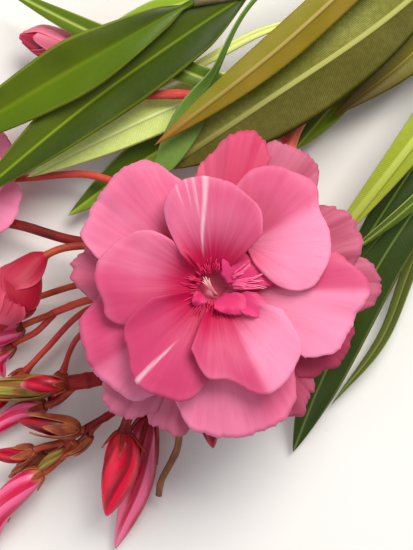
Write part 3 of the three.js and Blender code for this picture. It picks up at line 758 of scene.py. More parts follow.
FREE_PETAL = 0  # the inner petal that stands off the throat, on a claw of its own
FREE_OUTLINE = {
    "centre": (7.0, 9.2), "root": 1.2, "claw": 1.0, "angles": (-64, 100),
    "reaches": [4.5, 12.5, 17, 18.2, 18.9, 18.7, 18.2, 20.2, 19.4, 18.4, 16.6, 13],
    "whorl": {"root": 35.9, "bow": 1.5, "lean": 0.8},
}
SIDE_WHORLS = [
    {"count": 5, "turn": 12, "reach": 25, "root": 36.5, "rim": 40, "lean": 1.0, "bow": 1.2},
    {"count": 5, "turn": -24, "reach": 31.5, "root": 34.5, "rim": 35, "lean": 0.8, "bow": 1.2},
    {"count": 4, "turn": 30, "reach": 29, "root": 32.8, "rim": 31, "lean": 0.5, "bow": 1.2},
]
SIDE_OUTLINE = [0.66, 0.96, 1, 0.95, 0.64]
SIDE_SPREAD = 190       # over 180, the petals of a whorl lap over each other
SIDE_SEED = 40

# Small petals beside the throat: angles, reaches, where they start and the height of their rim
THROAT_LOBES = [
    ((-88, -14), [4.8, 5.9, 7.2, 8.8, 9.6, 7.4], 2.9, 39.4),
    ((-42, -8), [9.4, 12.2, 12.9, 12.2, 9.6], 5.5, 39.9),
    ((0, 72), [12.8, 13.6, 11.6, 10.2, 10.4, 9], 3.0, 37.3),
    ((196, 244), [4.4, 5.2, 6.0, 5.4, 4.6], 3.0, 38.4),
]
LOBE_GRID = (36, 16)
LOBE_WHORL = {"root": 37.6, "bow": 0.9, "lean": 0.5}
LOBE_SHARE = 0.7  # thickness and ruffle against a large petal's
LOBE_SEED = 90
PLUME_HAIRS = 13
CROWN_SEED = 11
# Fringes round the throat: angles, how many at 100 percent, where they start, their length, level, half width
# and finish
FRINGES = [
    ((0, 360), 60, 3.0, 0.6, 37.3, 0.24, "fringe"),
    ((130, 260), 40, 3.8, 0.9, 37.4, 0.22, "fringe"),
    ((225, 300), 22, 4.6, 1.1, 38.0, 0.24, "fringe"),
    ((60, 130), 14, 3.6, 0.7, 37.7, 0.3, "fringe"),
    ((22, 34), 11, 4.9, 1.1, 38.6, 0.3, "pale_fringe"),
    ((-6, 15), 16, 4.4, 1.6, 38.6, 0.3, "pale_fringe"),
]

# Buds: places from stalk to tip, radius of the stalk and of the body, where the body starts, and the finishes
BUDS = {
    "left_bud": ([(-7, 6.5, 13), (-28, 7.4, 10.5), (-45.5, 11.4, 7.5), (-54, 7.5, 4.6), (-66, -1, 3.6)],
                 1.2, 2.9, 0.55, "bud", "dark_stalk"),
    "bud_01": ([(-9.4, 0.5, 12.8), (-27.5, -2, 8.5), (-37.5, -5, 6), (-47, -8, 5), (-56, -12, 4)],
               0.8, 2.4, 0.65, "bud", "brown_stalk"),
    "bud_02": ([(-33.5, -8.4, 10), (-39, -10.5, 9), (-43, -12.5, 8.8), (-51, -17, 8)],
               0.8, 2.2, 0.45, "pink_bud", "brown_stalk"),
    "bud_03": ([(-33.2, -8.2, 9), (-37.5, -12.5, 6.8), (-42.5, -15.2, 5.5), (-46, -18.5, 4.5),
                (-44.5, -22.5, 3.5)], 0.8, 2.2, 0.5, "pink_bud", "stalk"),
    "bud_04": ([(-10, -4.5, 12.5), (-26, -7.5, 7.5), (-35.5, -16.5, 6), (-41, -22.5, 4), (-50, -32.5, 3)],
               0.75, 2, 0.7, "bud", "stalk"),
    "bud_05": ([(-10.3, -7.5, 12.5), (-22, -9.5, 10), (-28.5, -14, 6.8), (-32, -22.5, 3.2),
                (-34.5, -29.5, 2.6)], 0.7, 1.9, 0.72, "bud", "stalk"),
    "bud_06": ([(-30.5, -24, 13.8), (-36, -24, 14.6), (-41, -24.2, 14.6)],
               1.2, 2.1, 0.05, "bud", "red_stalk"),
    "bud_07": ([(-30, -24.2, 11.8), (-38, -24.6, 9), (-52, -25.5, 8)], 1, 2.6, 0.2, "green_bud", "red_stalk"),
    "bud_08": ([(-29, -24.5, 11), (-33, -28, 7), (-40.5, -29.8, 4), (-52, -38, 4.3)],
               0.8, 2.3, 0.45, "pink_bud", "brown_stalk"),
    "bud_09": ([(-27, -34, 12), (-32, -33.5, 13.5), (-41.5, -32, 14)],
               0.9, 2.4, 0.1, "dark_bud", "brown_stalk"),
    "bud_10": ([(-24, -32.3, 10.5), (-27, -37, 8), (-32.5, -40.5, 7.6)],
               0.6, 1.1, 0.3, "amber_bud", "brown_stalk"),
    "bud_11": ([(-31.5, -36.7, 9.5), (-36, -37.8, 11), (-41.5, -39.5, 10.5), (-48, -39.5, 9.5)],
               0.8, 2, 0.45, "bud", "brown_stalk"),
    "bud_12": ([(-31.5, -36.7, 8.6), (-36.5, -39.6, 5.6), (-43.5, -44.5, 3.2)],
               0.6, 1.3, 0.4, "amber_bud", "brown_stalk"),
    "bud_13": ([(-29.5, -35.5, 8.6), (-34, -42, 6.8), (-39.5, -45.5, 8), (-45.5, -52, 7.8),
                (-47.5, -60, 5.8)], 1, 3.2, 0.35, "pink_bud", "brown_stalk"),
    "bud_14": ([(-22.5, -31.3, 10), (-32.5, -41, 3.5), (-40.5, -47, 1.9), (-46, -54, 1.9), (-49.5, -62, 2.2)],
               0.7, 1.9, 0.6, "bud", "brown_stalk"),
    "bud_15": ([(-9.8, -16.5, 12.5), (-12.8, -23, 16), (-17.8, -33, 16), (-18.8, -42, 14), (-22, -53, 12)],
               1.2, 4.3, 0.54, "bright_bud", "red_stalk"),
    "bud_16": ([(-9.4, -18, 11.5), (-11.5, -27, 7.8), (-14, -36, 5.6), (-15.5, -47, 4.8), (-20, -60, 3)],
               1, 4.1, 0.36, "striped_bud", "dark_stalk"),
    "bud_17": ([(-9.5, -14.5, 12.4), (-5, -23, 15.5), (0, -31, 15.5), (1.5, -38, 14)],
               1, 2.8, 0.3, "dark_bud", "dark_stalk"),
}
# Sepals that differ from the common ones: finish, length and width against those, and how far they spread
SEPALS = {
    "bud_07": ("green_sepal", 3.2, 1.3, 0.4),
    "bud_09": ("amber_sepal", 3.4, 2.6, 0.6),
    "bud_10": ("amber_sepal", 3.0, 1.3, 0.1),
    "bud_11": ("amber_sepal", 1.8, 1.5, 0.4),
    "bud_12": ("amber_sepal", 3.2, 1.4, 0.2),
    "bud_13": ("amber_sepal", 0.7, 0.7, 0.2),
    "bud_15": ("red_sepal", 0.8, 0.5, 1.3),
    "bud_16": ("red_sepal", 1.5, 0.6, 0.3),
}
# A bract beside a bud: the bud, places from its foot to its tip, its radius and its finish
BRACTS = [
    ("bud_12", [(-31.2, -38, 9.2), (-35, -41, 8.6), (-38.6, -45, 6.4)], 1.25, "green_bud"),
    ("bud_10", [(-28.2, -37.6, 8.4), (-30, -36.2, 9.4), (-33.4, -35.6, 9)], 0.7, "amber_bud"),
]
# Half-open flowers: places, widest radius, where the body starts and closes, its flatness, the finish, and
# the petals from the inmost to the outmost: turn round the body, where they start and end, how pale they are
OPENING = {
    "upper_flower": (
        [(-16, 39.6, 16), (-20, 42.4, 13.8), (-24.5, 46.4, 11), (-31.5, 50.2, 9), (-41, 52.5, 8)],
        4.1, 0.45, 0.74, 0.9, "rose_petal",
        [(0.75, 0, 0.9, 0.8), (0.5, 0, 0.97, 0.0), (0.4, 0, 0.85, 0.15), (0.05, 0, 0.97, 0.95),
         (0.2, 0, 0.84, 0.85)]),
    "left_flower": (
        [(-9, 3, 13.3), (-27.5, 6.4, 16), (-35.5, 4.2, 17), (-42.5, -4, 17), (-46.5, -12, 16)],
        7, 0.5, 0.5, 0.75, "coral_petal",
        [(0.8, 0, 0.9, 0.1), (0.64, 0, 0.97, 0.0), (0.98, 0, 0.86, 0.1), (0.5, 0, 0.86, 0.0),
         (0.42, 0, 0.98, 0.0), (0.32, 0.3, 1.0, 0.2), (0.22, 0.42, 0.94, 0.9), (0.4, 0.06, 0.66, 0.0),
         (0.06, 0.3, 0.9, 0.9), (0.29, 0.16, 0.6, 0.12), (0.13, 0, 0.5, 0.42)]),
}

finishes = {}


def settings():
    return bpy.context.scene.oleander_sizes, bpy.context.scene.oleander_colours


def keep(kind, prefix, rows):
    """Makes a finish of one kind for each row, and keeps it under the row's name."""
    for name, shades in rows.items():
        finishes[name] = kind(prefix + name, *shades)


def leaf_finishes(colours):
    plain = {"top": colours.leaf, "top_bright": colours.leaf_bright, "rib": colours.midrib,
             "back": colours.underside, "back_rib": srgb(178, 180, 118)}
    kinds = {
        "dark": {"margin": srgb(132, 154, 34), "veins": 0.02, "half_shading": (srgb(30, 50, 2), 0.55),
                 "rib_width": 0.6, "node_shade": 0.6},
        "broad": {"rib": srgb(110, 130, 4), "rib_width": 1.0, "margin": srgb(132, 150, 30), "veins": 0.01,
                  "half_shading": (srgb(88, 116, 0), 0.6), "node_shade": 0.9},
        "slim": {"top": srgb(64, 84, 6), "top_bright": srgb(96, 120, 18), "rib": srgb(180, 196, 90),
                 "rib_width": 0.6, "margin": srgb(178, 194, 96), "veins": 0.01},
        "deep": {"top": srgb(36, 52, 10), "top_bright": srgb(56, 76, 18), "rib": srgb(112, 132, 60)},
        "fresh": {"top": srgb(50, 76, 4), "top_bright": srgb(84, 112, 12), "rib": srgb(178, 198, 84),
                  "rib_width": 0.6, "half_shading": (srgb(122, 150, 34), 0.75), "margin": srgb(168, 190, 84)},
        "fresh_back": {"back": srgb(138, 166, 34), "back_rib": srgb(176, 198, 80), "back_veins": 0.2,
                       "margin": srgb(196, 214, 120)},
        "grey": {"top": srgb(82, 92, 34), "top_bright": srgb(110, 122, 52), "rib": srgb(150, 158, 92),
                 "back": srgb(96, 132, 44), "back_rib": srgb(140, 166, 84), "back_rib_width": 0.0,
                 "back_veins": 0.3, "margin": srgb(146, 160, 96)},
        # Pale underside made lighter than the leaf's own tone to stand in for the light it loses under the
        # leaf above: its own pale green with painted light
        "pale_lit_back": {"back": srgb(220, 240, 128), "back_rib": srgb(240, 250, 176), "back_rib_width": 0.4,
                      "back_veins": 0.4},
        "olive": {"back": srgb(124, 118, 12), "back_rib": srgb(176, 150, 84), "back_rib_width": 0.5,
                  "back_veins": 0.1, "back_halves": (1.05, 0.84, 0.5), "margin": srgb(176, 164, 44),
                  "tip": (srgb(148, 88, 34), 0.85, 1.05)},
        # Its back_halves tint darkens one half of the underside: painted shade
        "olive_back": {"back": srgb(118, 118, 28), "back_rib": srgb(176, 176, 96), "back_rib_width": 0.75,
                       "back_veins": 0.8, "back_halves": (0.56, 0.5, 0.34)},
        "yellow_back": {"back": srgb(150, 162, 34), "back_rib": srgb(202, 212, 104), "back_rib_width": 1.0,
                        "back_veins": 0.25, "margin": srgb(206, 216, 104)},
        "brown_tip": {"top": srgb(104, 104, 12), "top_bright": srgb(136, 126, 24), "rib": srgb(164, 152, 70),
                      "tip": (srgb(92, 72, 24), 0.55, 0.95)},
        "straw": {"top": srgb(226, 236, 124), "top_bright": srgb(240, 246, 150), "rib": srgb(240, 246, 160),
                  "back": srgb(196, 206, 104), "veins": 0.0},
    }
    for name, changes in kinds.items():
        finishes[name] = leaf_finish("leaf_" + name, **{**plain, **changes})


def petal_finishes(colours):
    own = (colours.petal, colours.petal_pale, colours.throat)
    keep(petal_finish, "", {
        "petal": own,
        "petal_streaked": (*own, [
            (0.54, 0.76, 0.032, 0.1, 0.8), (0.61, 0.65, 0.017, 0.5, 0.45), (0.66, 0.69, 0.012, 0.62, 0.4),
            (0.72, 0.74, 0.013, 0.66, 0.4)]),
        "petal_striped": (*own, [(0.5, 0.7, 0.022, 0.38, 0.7)]),
        "petal_mauve": (srgb(184, 62, 96), srgb(222, 124, 156), colours.throat),
        "petal_vivid": (srgb(218, 68, 112), srgb(236, 118, 150), colours.throat),
        "coral_petal": (srgb(172, 0, 40), srgb(252, 104, 136), srgb(190, 4, 44)),
        "rose_petal": (srgb(206, 36, 84), srgb(248, 146, 170), colours.throat),
        "lobe": (srgb(236, 78, 138), srgb(255, 146, 190), srgb(228, 58, 122)),
    })
    keep(fringe_finish, "", {
        "throat": (srgb(196, 60, 96), srgb(214, 110, 132)),
        "fringe": (srgb(214, 6, 84), srgb(236, 56, 118)),
        "pale_fringe": (srgb(244, 84, 142), srgb(255, 150, 190)),
        "plume": (srgb(226, 130, 138), srgb(250, 196, 190)),
    })


def stalk_finishes(colours):
    finishes["bark"] = bark_finish("bark", colours.bark)
    keep(stalk_finish, "stalk_", {
        "stalk": (colours.stalk, srgb(176, 40, 44), srgb(238, 144, 124)),
        # The flower stalk: its own paler coral, made lighter still as painted light where the leaves and the
        # bloom shade it
        "pale_stalk": (srgb(226, 112, 84), srgb(200, 76, 60), srgb(240, 160, 130)),
        "red_stalk": (srgb(150, 12, 12), srgb(92, 0, 4), srgb(200, 72, 52)),
        "dark_stalk": (srgb(126, 10, 8), srgb(78, 2, 4), srgb(176, 54, 40)),
        "brown_stalk": (srgb(184, 72, 40), srgb(140, 34, 24), srgb(218, 130, 84)),
        "dry": (srgb(150, 96, 58), srgb(98, 58, 36), srgb(196, 160, 112)),
    })


def bud_finishes(colours):
    # Light and deep pink of the rolled petals, foot, tip, how far they roll and how much of each is light
    keep(bud_finish, "corolla_", {
        "bud": (colours.bud, srgb(150, 0, 34), srgb(200, 84, 40), srgb(240, 130, 150), 0.32),
        "bright_bud": (srgb(240, 0, 60), srgb(160, 0, 32), srgb(206, 30, 36), srgb(240, 0, 70), 0.2, 0.62),
        "amber_bud": (srgb(196, 96, 40), srgb(150, 52, 28), srgb(170, 110, 50), srgb(206, 90, 50), 0.32),
        "dark_bud": (srgb(164, 12, 36), srgb(108, 0, 22), srgb(120, 30, 30), srgb(176, 30, 50), 0.32),
        "pink_bud": (srgb(244, 104, 150), srgb(204, 24, 72), srgb(216, 130, 90), srgb(250, 160, 180), 0.32),
        "striped_bud": (srgb(246, 112, 152), srgb(186, 14, 60), srgb(160, 20, 40), srgb(248, 140, 172), 0.2,
                        0.6),
        "green_bud": (srgb(160, 148, 52), srgb(140, 92, 44), srgb(150, 76, 44), srgb(176, 132, 70), 0.32),
    })
    keep(bud_finish, "", {
        "opening_core": (srgb(190, 14, 56), srgb(140, 0, 34), srgb(190, 90, 60), srgb(206, 40, 84), 0.3),
    })
    keep(sepal_finish, "", {
        "sepal": (colours.calyx, srgb(110, 26, 18), srgb(196, 112, 70)),
        "red_sepal": (srgb(176, 40, 36), srgb(126, 14, 22), srgb(206, 98, 74)),
        "amber_sepal": (srgb(172, 82, 48), srgb(124, 46, 32), srgb(192, 130, 80)),
        "green_sepal": (srgb(146, 136, 50), srgb(140, 66, 40), srgb(186, 170, 84)),
    })


def leaf_blade(places, width, seed, thickness, fold=0.18, roll=0.0, level=None, belly=0.55, under=False):
    """A leaf from its stalk to its tip, turned by roll degrees about its midrib.

    Its own upper side faces down where under is true. Where level is given, the turn dies out between those
    two shares of its length.
    """
    path = Path(places)
    draw = Random(seed)
    phase = draw.uniform(0, FULL_TURN)
    waves = draw.uniform(2.2, 3.4)
    flip = -1.0 if under else 1.0
    lean = math.log(0.5) / math.log(belly)

    def half_width(t):
        blade = width / 2 * math.sin(math.pi * t ** lean) ** LEAF_FULLNESS if 0 < t < 1 else 0.0
        return max(blade, LEAF_STALK * (1 - t) * 0.9)

    def turned(t):
        return roll * (1 - smooth(t, *level)) if level else roll

    def spread(u):
        """Across from -1 to 1 and back, with more points near the midrib."""
        across = 4 * u - 1 if u < 0.5 else 3 - 4 * u
        return math.copysign(abs(across) ** MIDRIB_CROWDING, across), 1.0 if 0.0 < u < 0.5 else 0.0

    def section(across, half, v, upper):
        """How far the skin stands off the blade's middle."""
        if abs(across) > RIM:
            return 0.0
        reach = abs(across) * half
        stalk = 1 - smooth(v, 0.0, STALK_END)
        wall = mixed(thickness / 2, STALK_WALL, stalk) * (1 - abs(across) ** 3 * 0.75) * (1 - 0.55 * v ** 3)
        if upper:
            return wall - GROOVE_DEPTH * math.exp(-(reach / GROOVE_WIDTH) ** 2) * (1 - stalk)
        return -(wall + MIDRIB_HEIGHT * math.exp(-(reach / MIDRIB_WIDTH) ** 2) * (1 - v) ** 0.5)

    def place(u, v):
        across, upper = spread(u % 1.0)
        centre, side, up, along = path.frame(v)
        turn = Matrix.Rotation(math.radians(turned(v)), 3, along)
        half = half_width(v)
        vee = math.hypot(fold * abs(across) * half, FOLD_ROUNDING) - FOLD_ROUNDING
        dome = DOME_SHARE * half * math.sin(math.pi * abs(across))
        sway = math.sin(FULL_TURN * waves * v + phase + across) * across ** 2
        wave = WAVE_SHARE * half * sway * smooth(v, 0.1, 0.4)
        rise = vee + dome + wave + section(across, half, v, upper)
        return centre + turn @ side * across * half + turn @ up * flip * rise

    def marks(u, v):
        across, upper = spread(u % 1.0)
        return across * half_width(v), v * path.length, upper

    return closed(sheet(*LEAF_GRID, place, marks))


def fan_petal(angles, reaches, whorl, rim, sides, crease, seed, ruffle, thickness, teeth=0.012,
              root=PETAL_ROOT, claw=0.8, centre=(0.0, 0.0), grid=PETAL_GRID, scale=1.0):
    """A petal round the bloom's own axis, which stands at the origin. It fans out from centre."""
    start, end = angles
    wide = end - start
    draw = Random(seed)
    phases = [draw.uniform(0, FULL_TURN) for _ in range(4)]
    waves = draw.uniform(1.2, 1.9)
    own = draw.uniform(0, 50)
    base = (start + end) / 2

    def uneven(place, layer):
        return noise.noise(Vector((place, own, layer)))

    def reach_at(share):
        place = share * wide / TOOTH_ANGLE
        tears = max(uneven(place * 13, 8) - 0.25, 0)
        notches = teeth * (uneven(place * 22, 3) + 0.7 * uneven(place * 52, 5) - 2 * tears)
        return through(reaches, share) * (1 + OUTLINE_DRIFT * uneven(share * 8, 0) + notches)

    def spot(u, out):
        width = mixed(claw, 1.0, smooth(out, 0.0, 0.5))
        angle = math.radians(base + (mixed(start, end, u) - base) * width)
        reach = root + (reach_at(u) - root) * out
        return centre[0] + reach * math.cos(angle), centre[1] + reach * math.sin(angle)

    def place(u, v):
        tilt = whorl["lean"] * (1 - 2 * u) * v
        height = mixed(whorl["root"], rim, v) + 4 * whorl["bow"] * v * (1 - v) + tilt
        waving = ruffle * math.sin(FULL_TURN * waves * u + phases[0]) * v ** 2
        waving += 0.45 * ruffle * math.sin(FULL_TURN * waves * 2.6 * u + phases[1] + 2 * v) * v ** 4
        waving += 0.5 * ruffle * uneven(u * wide / 6, 2 * v) * v ** 6
        height += waving + CREASE * (0.5 - abs(u - crease)) * smooth(v, 0.1, 0.7)
        x, y = spot(u, v)
        return Vector((x * stretch(height), y * stretch(height), height))

    def marks(u, v):
        x, y = spot(u, v)
        # Painted light and shade: each side of the crease takes its own paleness, so one face of the fold
        # looks lit and the other shaded; the rim is a little paler
        pale = mixed(*sides, smooth(u, crease - 0.06, crease + 0.06)) + 0.12 * smooth(v, 0.85, 1.0)
        return pale, math.hypot(x, y) / scale, own

    return thickened(sheet(*grid, place, marks), thickness)


def throat_shape(foot, mouth):
    """The corolla's tube and its open throat, spun round the axis."""
    outline = [
        (AXIS_GAP, foot), (2.2, foot), (2.5, foot + 3), (2.8, foot + 6), (4, mouth - 4.2), (5, mouth - 3),
        (7.5, mouth - 0.6), (7, mouth + 0.4), (5.6, mouth + 0.3), (4.2, mouth), (3.2, mouth - 0.6),
        (2.2, mouth - 1.6), (AXIS_GAP, mouth - 2.4),
    ]
    radii, levels = zip(*outline)

    def place(u, v):
        angle = FULL_TURN * (u % 1.0)
        radius = through(radii, v) * (1 + 0.05 * math.cos(PETALS * angle))
        return Vector((radius * math.cos(angle), radius * math.sin(angle), through(levels, v)))

    return closed(sheet(*THROAT_GRID, place, lambda u, v: (0.1, 3.0, v)))


def strand(points, thick, thin):
    """A thin hair or fringe, bent through three places."""
    start, middle, end = (Vector(p) for p in points)

    def place(u, v):
        centre = start * (1 - v) ** 2 + middle * 2 * v * (1 - v) + end * v ** 2
        along = (middle - start) * 2 * (1 - v) + (end - middle) * 2 * v
        side = along.cross(Vector((0, 0, 1))).normalized()
        up = side.cross(along).normalized()
        size = mixed(thick, thin, v)
        angle = FULL_TURN * (u % 1.0)
        return centre + side * size * math.cos(angle) + up * size * STRAND_FLATNESS * math.sin(angle)

    return closed(sheet(*STRAND_GRID, place, lambda u, v: (v, 0, 0)))


def moved(shape, place, scale=1.0):
    bmesh.ops.scale(shape, verts=shape.verts, vec=(scale, scale, scale))
    bmesh.ops.translate(shape, verts=shape.verts, vec=place)
    return shape


def joints(v, places, width):
    """Swellings of 1 at these shares of a stalk, this wide."""
    return sum(math.exp(-((v - at) / width) ** 2) for at in places)


def calyx(piece, path, radius, start, length, flat, finish, seed, spread, full):
    """Sepals round the foot of a bud. Full is half the width of one."""
    draw = Random(seed)

    def half_width(v):
        return full * (0.8 + 0.7 * v) * (1 - v) ** 0.85

    for k in range(PETALS):
        own_length = length * draw.uniform(0.85, 1.15)
        own_spread = spread * draw.uniform(0.3, 1.4)
        bend = draw.uniform(-0.02, 0.02)

        def lift(u, v, far=own_spread):
            return 0.2 + 0.25 * (2 * u - 1) ** 2 + far * v ** 2.5

        turn = (k + draw.uniform(-0.12, 0.12)) / PETALS + 0.07
        sepal = wrap(path, radius, turn, (start, start + own_length), half_width, lift, bend, flat)
        piece.add(sepal, finish)


def bud_piece(name, places, stalk, fat, share, finish, stem, seed):
    """A bud on its stalk, with its rolled petals, its sepals and the bract beside it, if any."""
    path = Path(places)
    draw = Random(seed)

    def outline(body):
        swelling = math.sin(math.pi * min(max(body, 0.0), 1.0) ** BUD_FULLNESS) ** BUD_FULLNESS
        foot = stalk + (0.25 - stalk) * body ** 2
        return foot + (fat - foot) * swelling

    def rolled(turn, v):
        phase = (PETALS * turn + PETALS * BUD_TWIST * v) % 1.0
        step = smooth(phase, 0.0, 0.09) * (1 - 0.85 * phase)
        return max(outline(v) * (1 + BUD_RIDGE * (step - 0.5) * math.sin(math.pi * min(v * 1.15, 1.0))), 0.06)

    def radius(t):
        return outline(max(0.0, (t - share) / (1 - share)))

    def stalk_radius(turn, v):
        return stalk * (1 + 0.12 * joints(v, [0.08], 0.05)) + 0.5 * stalk * smooth(v, 0.88, 1.0)

    piece = Piece(name + "_shape", "bud", name)
    end = share + 0.05 * (1 - share)
    piece.add(tube(path, stalk_radius, *BUD_STALK_GRID, reach=(0.0, end)), finishes[stem])
    piece.add(tube(path, rolled, *BUD_GRID, reach=(share, 1.0)), finishes[finish])
    for bearer, spots, thick, kind in BRACTS:
        if bearer == name:
            def bract_radius(turn, v, thick=thick):
                return thick * math.sin(math.pi * v ** 0.7) ** 0.8 + 0.05
            piece.add(tube(Path(spots), bract_radius, *BRACT_GRID), finishes[kind])
    sepal, long, wide, spread = SEPALS.get(name, ("sepal", 1.0, 1.0, draw.uniform(0.1, 0.5)))
    length = long * (0.2 * (1 - share) + 0.03)
    full = wide * (0.36 * fat + 0.3)
    calyx(piece, path, radius, share, length, 1.0, finishes[sepal], seed + 1, spread, full)
    piece.finish()


def opening_piece(name, places, fat, share, closing, flat, finish, petals, seed):
    """A half-open flower: folded petals one over another round a short tube."""
    path = Path(places)
    draw = Random(seed)
    inmost = 1 - PETAL_LAYER * len(petals) / fat

    def outline(body):
        opening = TUBE + (fat - TUBE) * smooth(body, 0.0, 0.62) ** 0.8
        return opening * (1 - 0.85 * smooth(body, closing, 1.05) ** 1.3)

    def radius(t):
        return inmost * outline(min(max(0.0, (t - share) / (1 - share)), 1.0))

    def core(turn, v):
        return 0.97 * inmost * outline(v) * (1 + 0.05 * math.cos(FULL_TURN * (PETALS * turn + v)))

    def tube_radius(turn, v):
        return TUBE + 0.3 * smooth(v, 0.85, 1.0)

    def half_width(v):
        return 0.3 + fat * 0.95 * math.sin(math.pi * min(0.12 + 0.72 * v, 1.0)) * (1 - v ** 5) ** 0.6

    piece = Piece(name + "_shape", "petal", name)
    piece.add(tube(path, tube_radius, *TUBE_GRID, reach=(0.0, share + 0.04)), finishes["brown_stalk"])
    piece.add(tube(path, core, *CORE_GRID, flat, (share, 1.0)), finishes["opening_core"])
    for k, (turn, start, end, paleness) in enumerate(petals):
        phase = draw.uniform(0, FULL_TURN)

        def lift(u, v, k=k, phase=phase):
            waving = 0.05 * math.sin(4 * u + 5 * v + phase) + 0.04 * math.sin(11 * u + 3 * v + 2 * phase)
            curl = 0.045 * fat * abs(2 * u - 1) ** 5 * smooth(v, 0.1, 0.5)
            stand = PETAL_LAYER * (k + 1) + waving + curl
            return stand * (1 - 0.6 * smooth(v, 0.75, 1.0)) * smooth(v, -0.1, 0.2)

        reach = (share + (1 - share) * start, share + (1 - share) * end)
        shape = wrap(
            path, radius, turn, reach, half_width, lift, FOLD_TWIST, flat, *FOLD_GRID, FOLD_WALL)
        kept = shape.verts.layers.float_vector["marks"]
        for vertex in shape.verts:
            across, out, own = vertex[kept]
            pale = paleness * (0.5 + 0.7 * smooth(out, 0.2, 1.0) * (0.5 - 0.5 * across))
            vertex[kept] = (pale + 0.4 * abs(across) ** 8, 9 + 18 * out, own * 30)
        piece.add(shape, finishes[finish])
    full = 0.15 * fat + 0.5
    calyx(piece, path, radius, share, 0.16 * (1 - share), flat, finishes["sepal"], seed + 1, 0.2, full)
    piece.finish()


def lobe(row, number, sizes):
    """A small petal beside the throat."""
    angles, reaches, root, rim = row
    # The two sides of the crease take their own paleness: painted light and shade
    return fan_petal(
        angles, reaches, LOBE_WHORL, rim, sides=(0.05, 0.4), crease=0.5, seed=LOBE_SEED + number,
        ruffle=LOBE_SHARE * sizes.ruffle / MM, thickness=LOBE_SHARE * sizes.petal_thickness / MM,
        root=root, claw=0.6, grid=LOBE_GRID)


def fringe(draw, row, length):
    """One thread of a row of fringes."""
    angles, _, inner, reach, height, wide, _ = row
    angle = math.radians(draw.uniform(*angles))
    start = inner + draw.uniform(-0.4, 1.0)
    long = length * reach * draw.uniform(0.45, 1.2)
    sway = draw.uniform(-0.5, 0.5) * wide
    rise = draw.uniform(0.1, 0.9)
    radii = (start, start + long * 0.55, start + long)
    turns = (angle, angle + sway * 0.2, angle + sway)
    levels = (height, height + rise, height + rise * draw.uniform(0.2, 1.4))
    points = [(r * math.cos(a), r * math.sin(a), z) for r, a, z in zip(radii, turns, levels)]
    return strand(points, wide * draw.uniform(0.7, 1.2), 0.07)


def plume_hair(draw):
    """One hair of the plume that stands in the throat."""
    spread = draw.uniform(-1, 1)
    top = (-1.7 + 0.8 * spread, 1.6 + draw.uniform(-0.6, 0.6), 37.6 + draw.uniform(-0.4, 0.4))
    middle = (-1.0 + 0.25 * spread, 0.3, 37.8)
    foot = (0.6 + draw.uniform(-0.4, 0.4), -2.0, 36.4)
    return strand([foot, middle, top], 0.34, 0.08)


class OLEANDER_OT_finishes(bpy.types.Operator):
    """Make the materials of the branch"""
    bl_idname = "oleander.finishes"
    bl_label = "Finishes"

    def execute(self, context):
        _, colours = settings()
        leaf_finishes(colours)
        petal_finishes(colours)
        stalk_finishes(colours)
        bud_finishes(colours)
        return {"FINISHED"}


class OLEANDER_OT_stem(bpy.types.Operator):
    """Add the woody stem with its leaf scars and cut end"""
    bl_idname = "oleander.stem"
    bl_label = "Woody stem"

    def execute(self, context):
        def radius(turn, v):
            angle = FULL_TURN * turn
            uneven = noise.noise(Vector((3 * math.cos(angle), 3 * math.sin(angle), 30 * v)))
            scars = joints(v, STEM_JOINTS, 0.012)
            return mixed(STEM_FOOT, STEM_TOP, v) * (0.985 + 0.07 * scars + 0.03 * uneven) - 0.08

        piece = Piece("woody_stem", "bark", "main_stem")
        piece.add(tube(Path(STEM_PATH), radius, *STEM_GRID), finishes["bark"])
        piece.finish()
        return {"FINISHED"}


class OLEANDER_OT_stalks(bpy.types.Operator):
    """Add the flower stalk, its branches and the stalks with a cup"""
    bl_idname = "oleander.stalks"
    bl_label = "Stalks"

    def execute(self, context):
        for name, (places, start, end, slot, finish) in LIMBS.items():
            def radius(turn, v):
                ribs = 0.03 * math.cos(FULL_TURN * (3 * turn + v))
                return mixed(start, end, v ** 0.5) * (1 + 0.1 * joints(v, STALK_JOINTS, 0.025) + ribs)

            self.add(name, slot, places, radius, finish)
        for name, (places, foot) in CUP_STALKS.items():
            def cup_radius(turn, v):
                return CUP_STALK + CUP_FLARE * smooth(v, 0.7, 1.0)

            top = (*places[-1][:2], foot - GAP)
            self.add(name, "stalk", [*places, top], cup_radius, "stalk")
        return {"FINISHED"}

    def add(self, name, slot, places, radius, finish):
        piece = Piece(name + "_shape", slot, name)
        piece.add(tube(Path(places), radius, *LIMB_GRID), finishes[finish])
        piece.finish()


class OLEANDER_OT_leaves(bpy.types.Operator):
    """Add the nineteen leaves with their stalks and midribs"""
    bl_idname = "oleander.leaves"
    bl_label = "Leaves"

    def execute(self, context):
        sizes, _ = settings()
        for number, (name, (places, width, finish, changes)) in enumerate(LEAVES.items()):
            slot = "leaf_underside" if changes.get("under") else "leaf"
            piece = Piece(name + "_blade", slot, name)
            blade = leaf_blade(places, width, number, sizes.leaf_thickness / MM, **changes)
            piece.add(blade, finishes[finish])
            piece.finish()
        return {"FINISHED"}


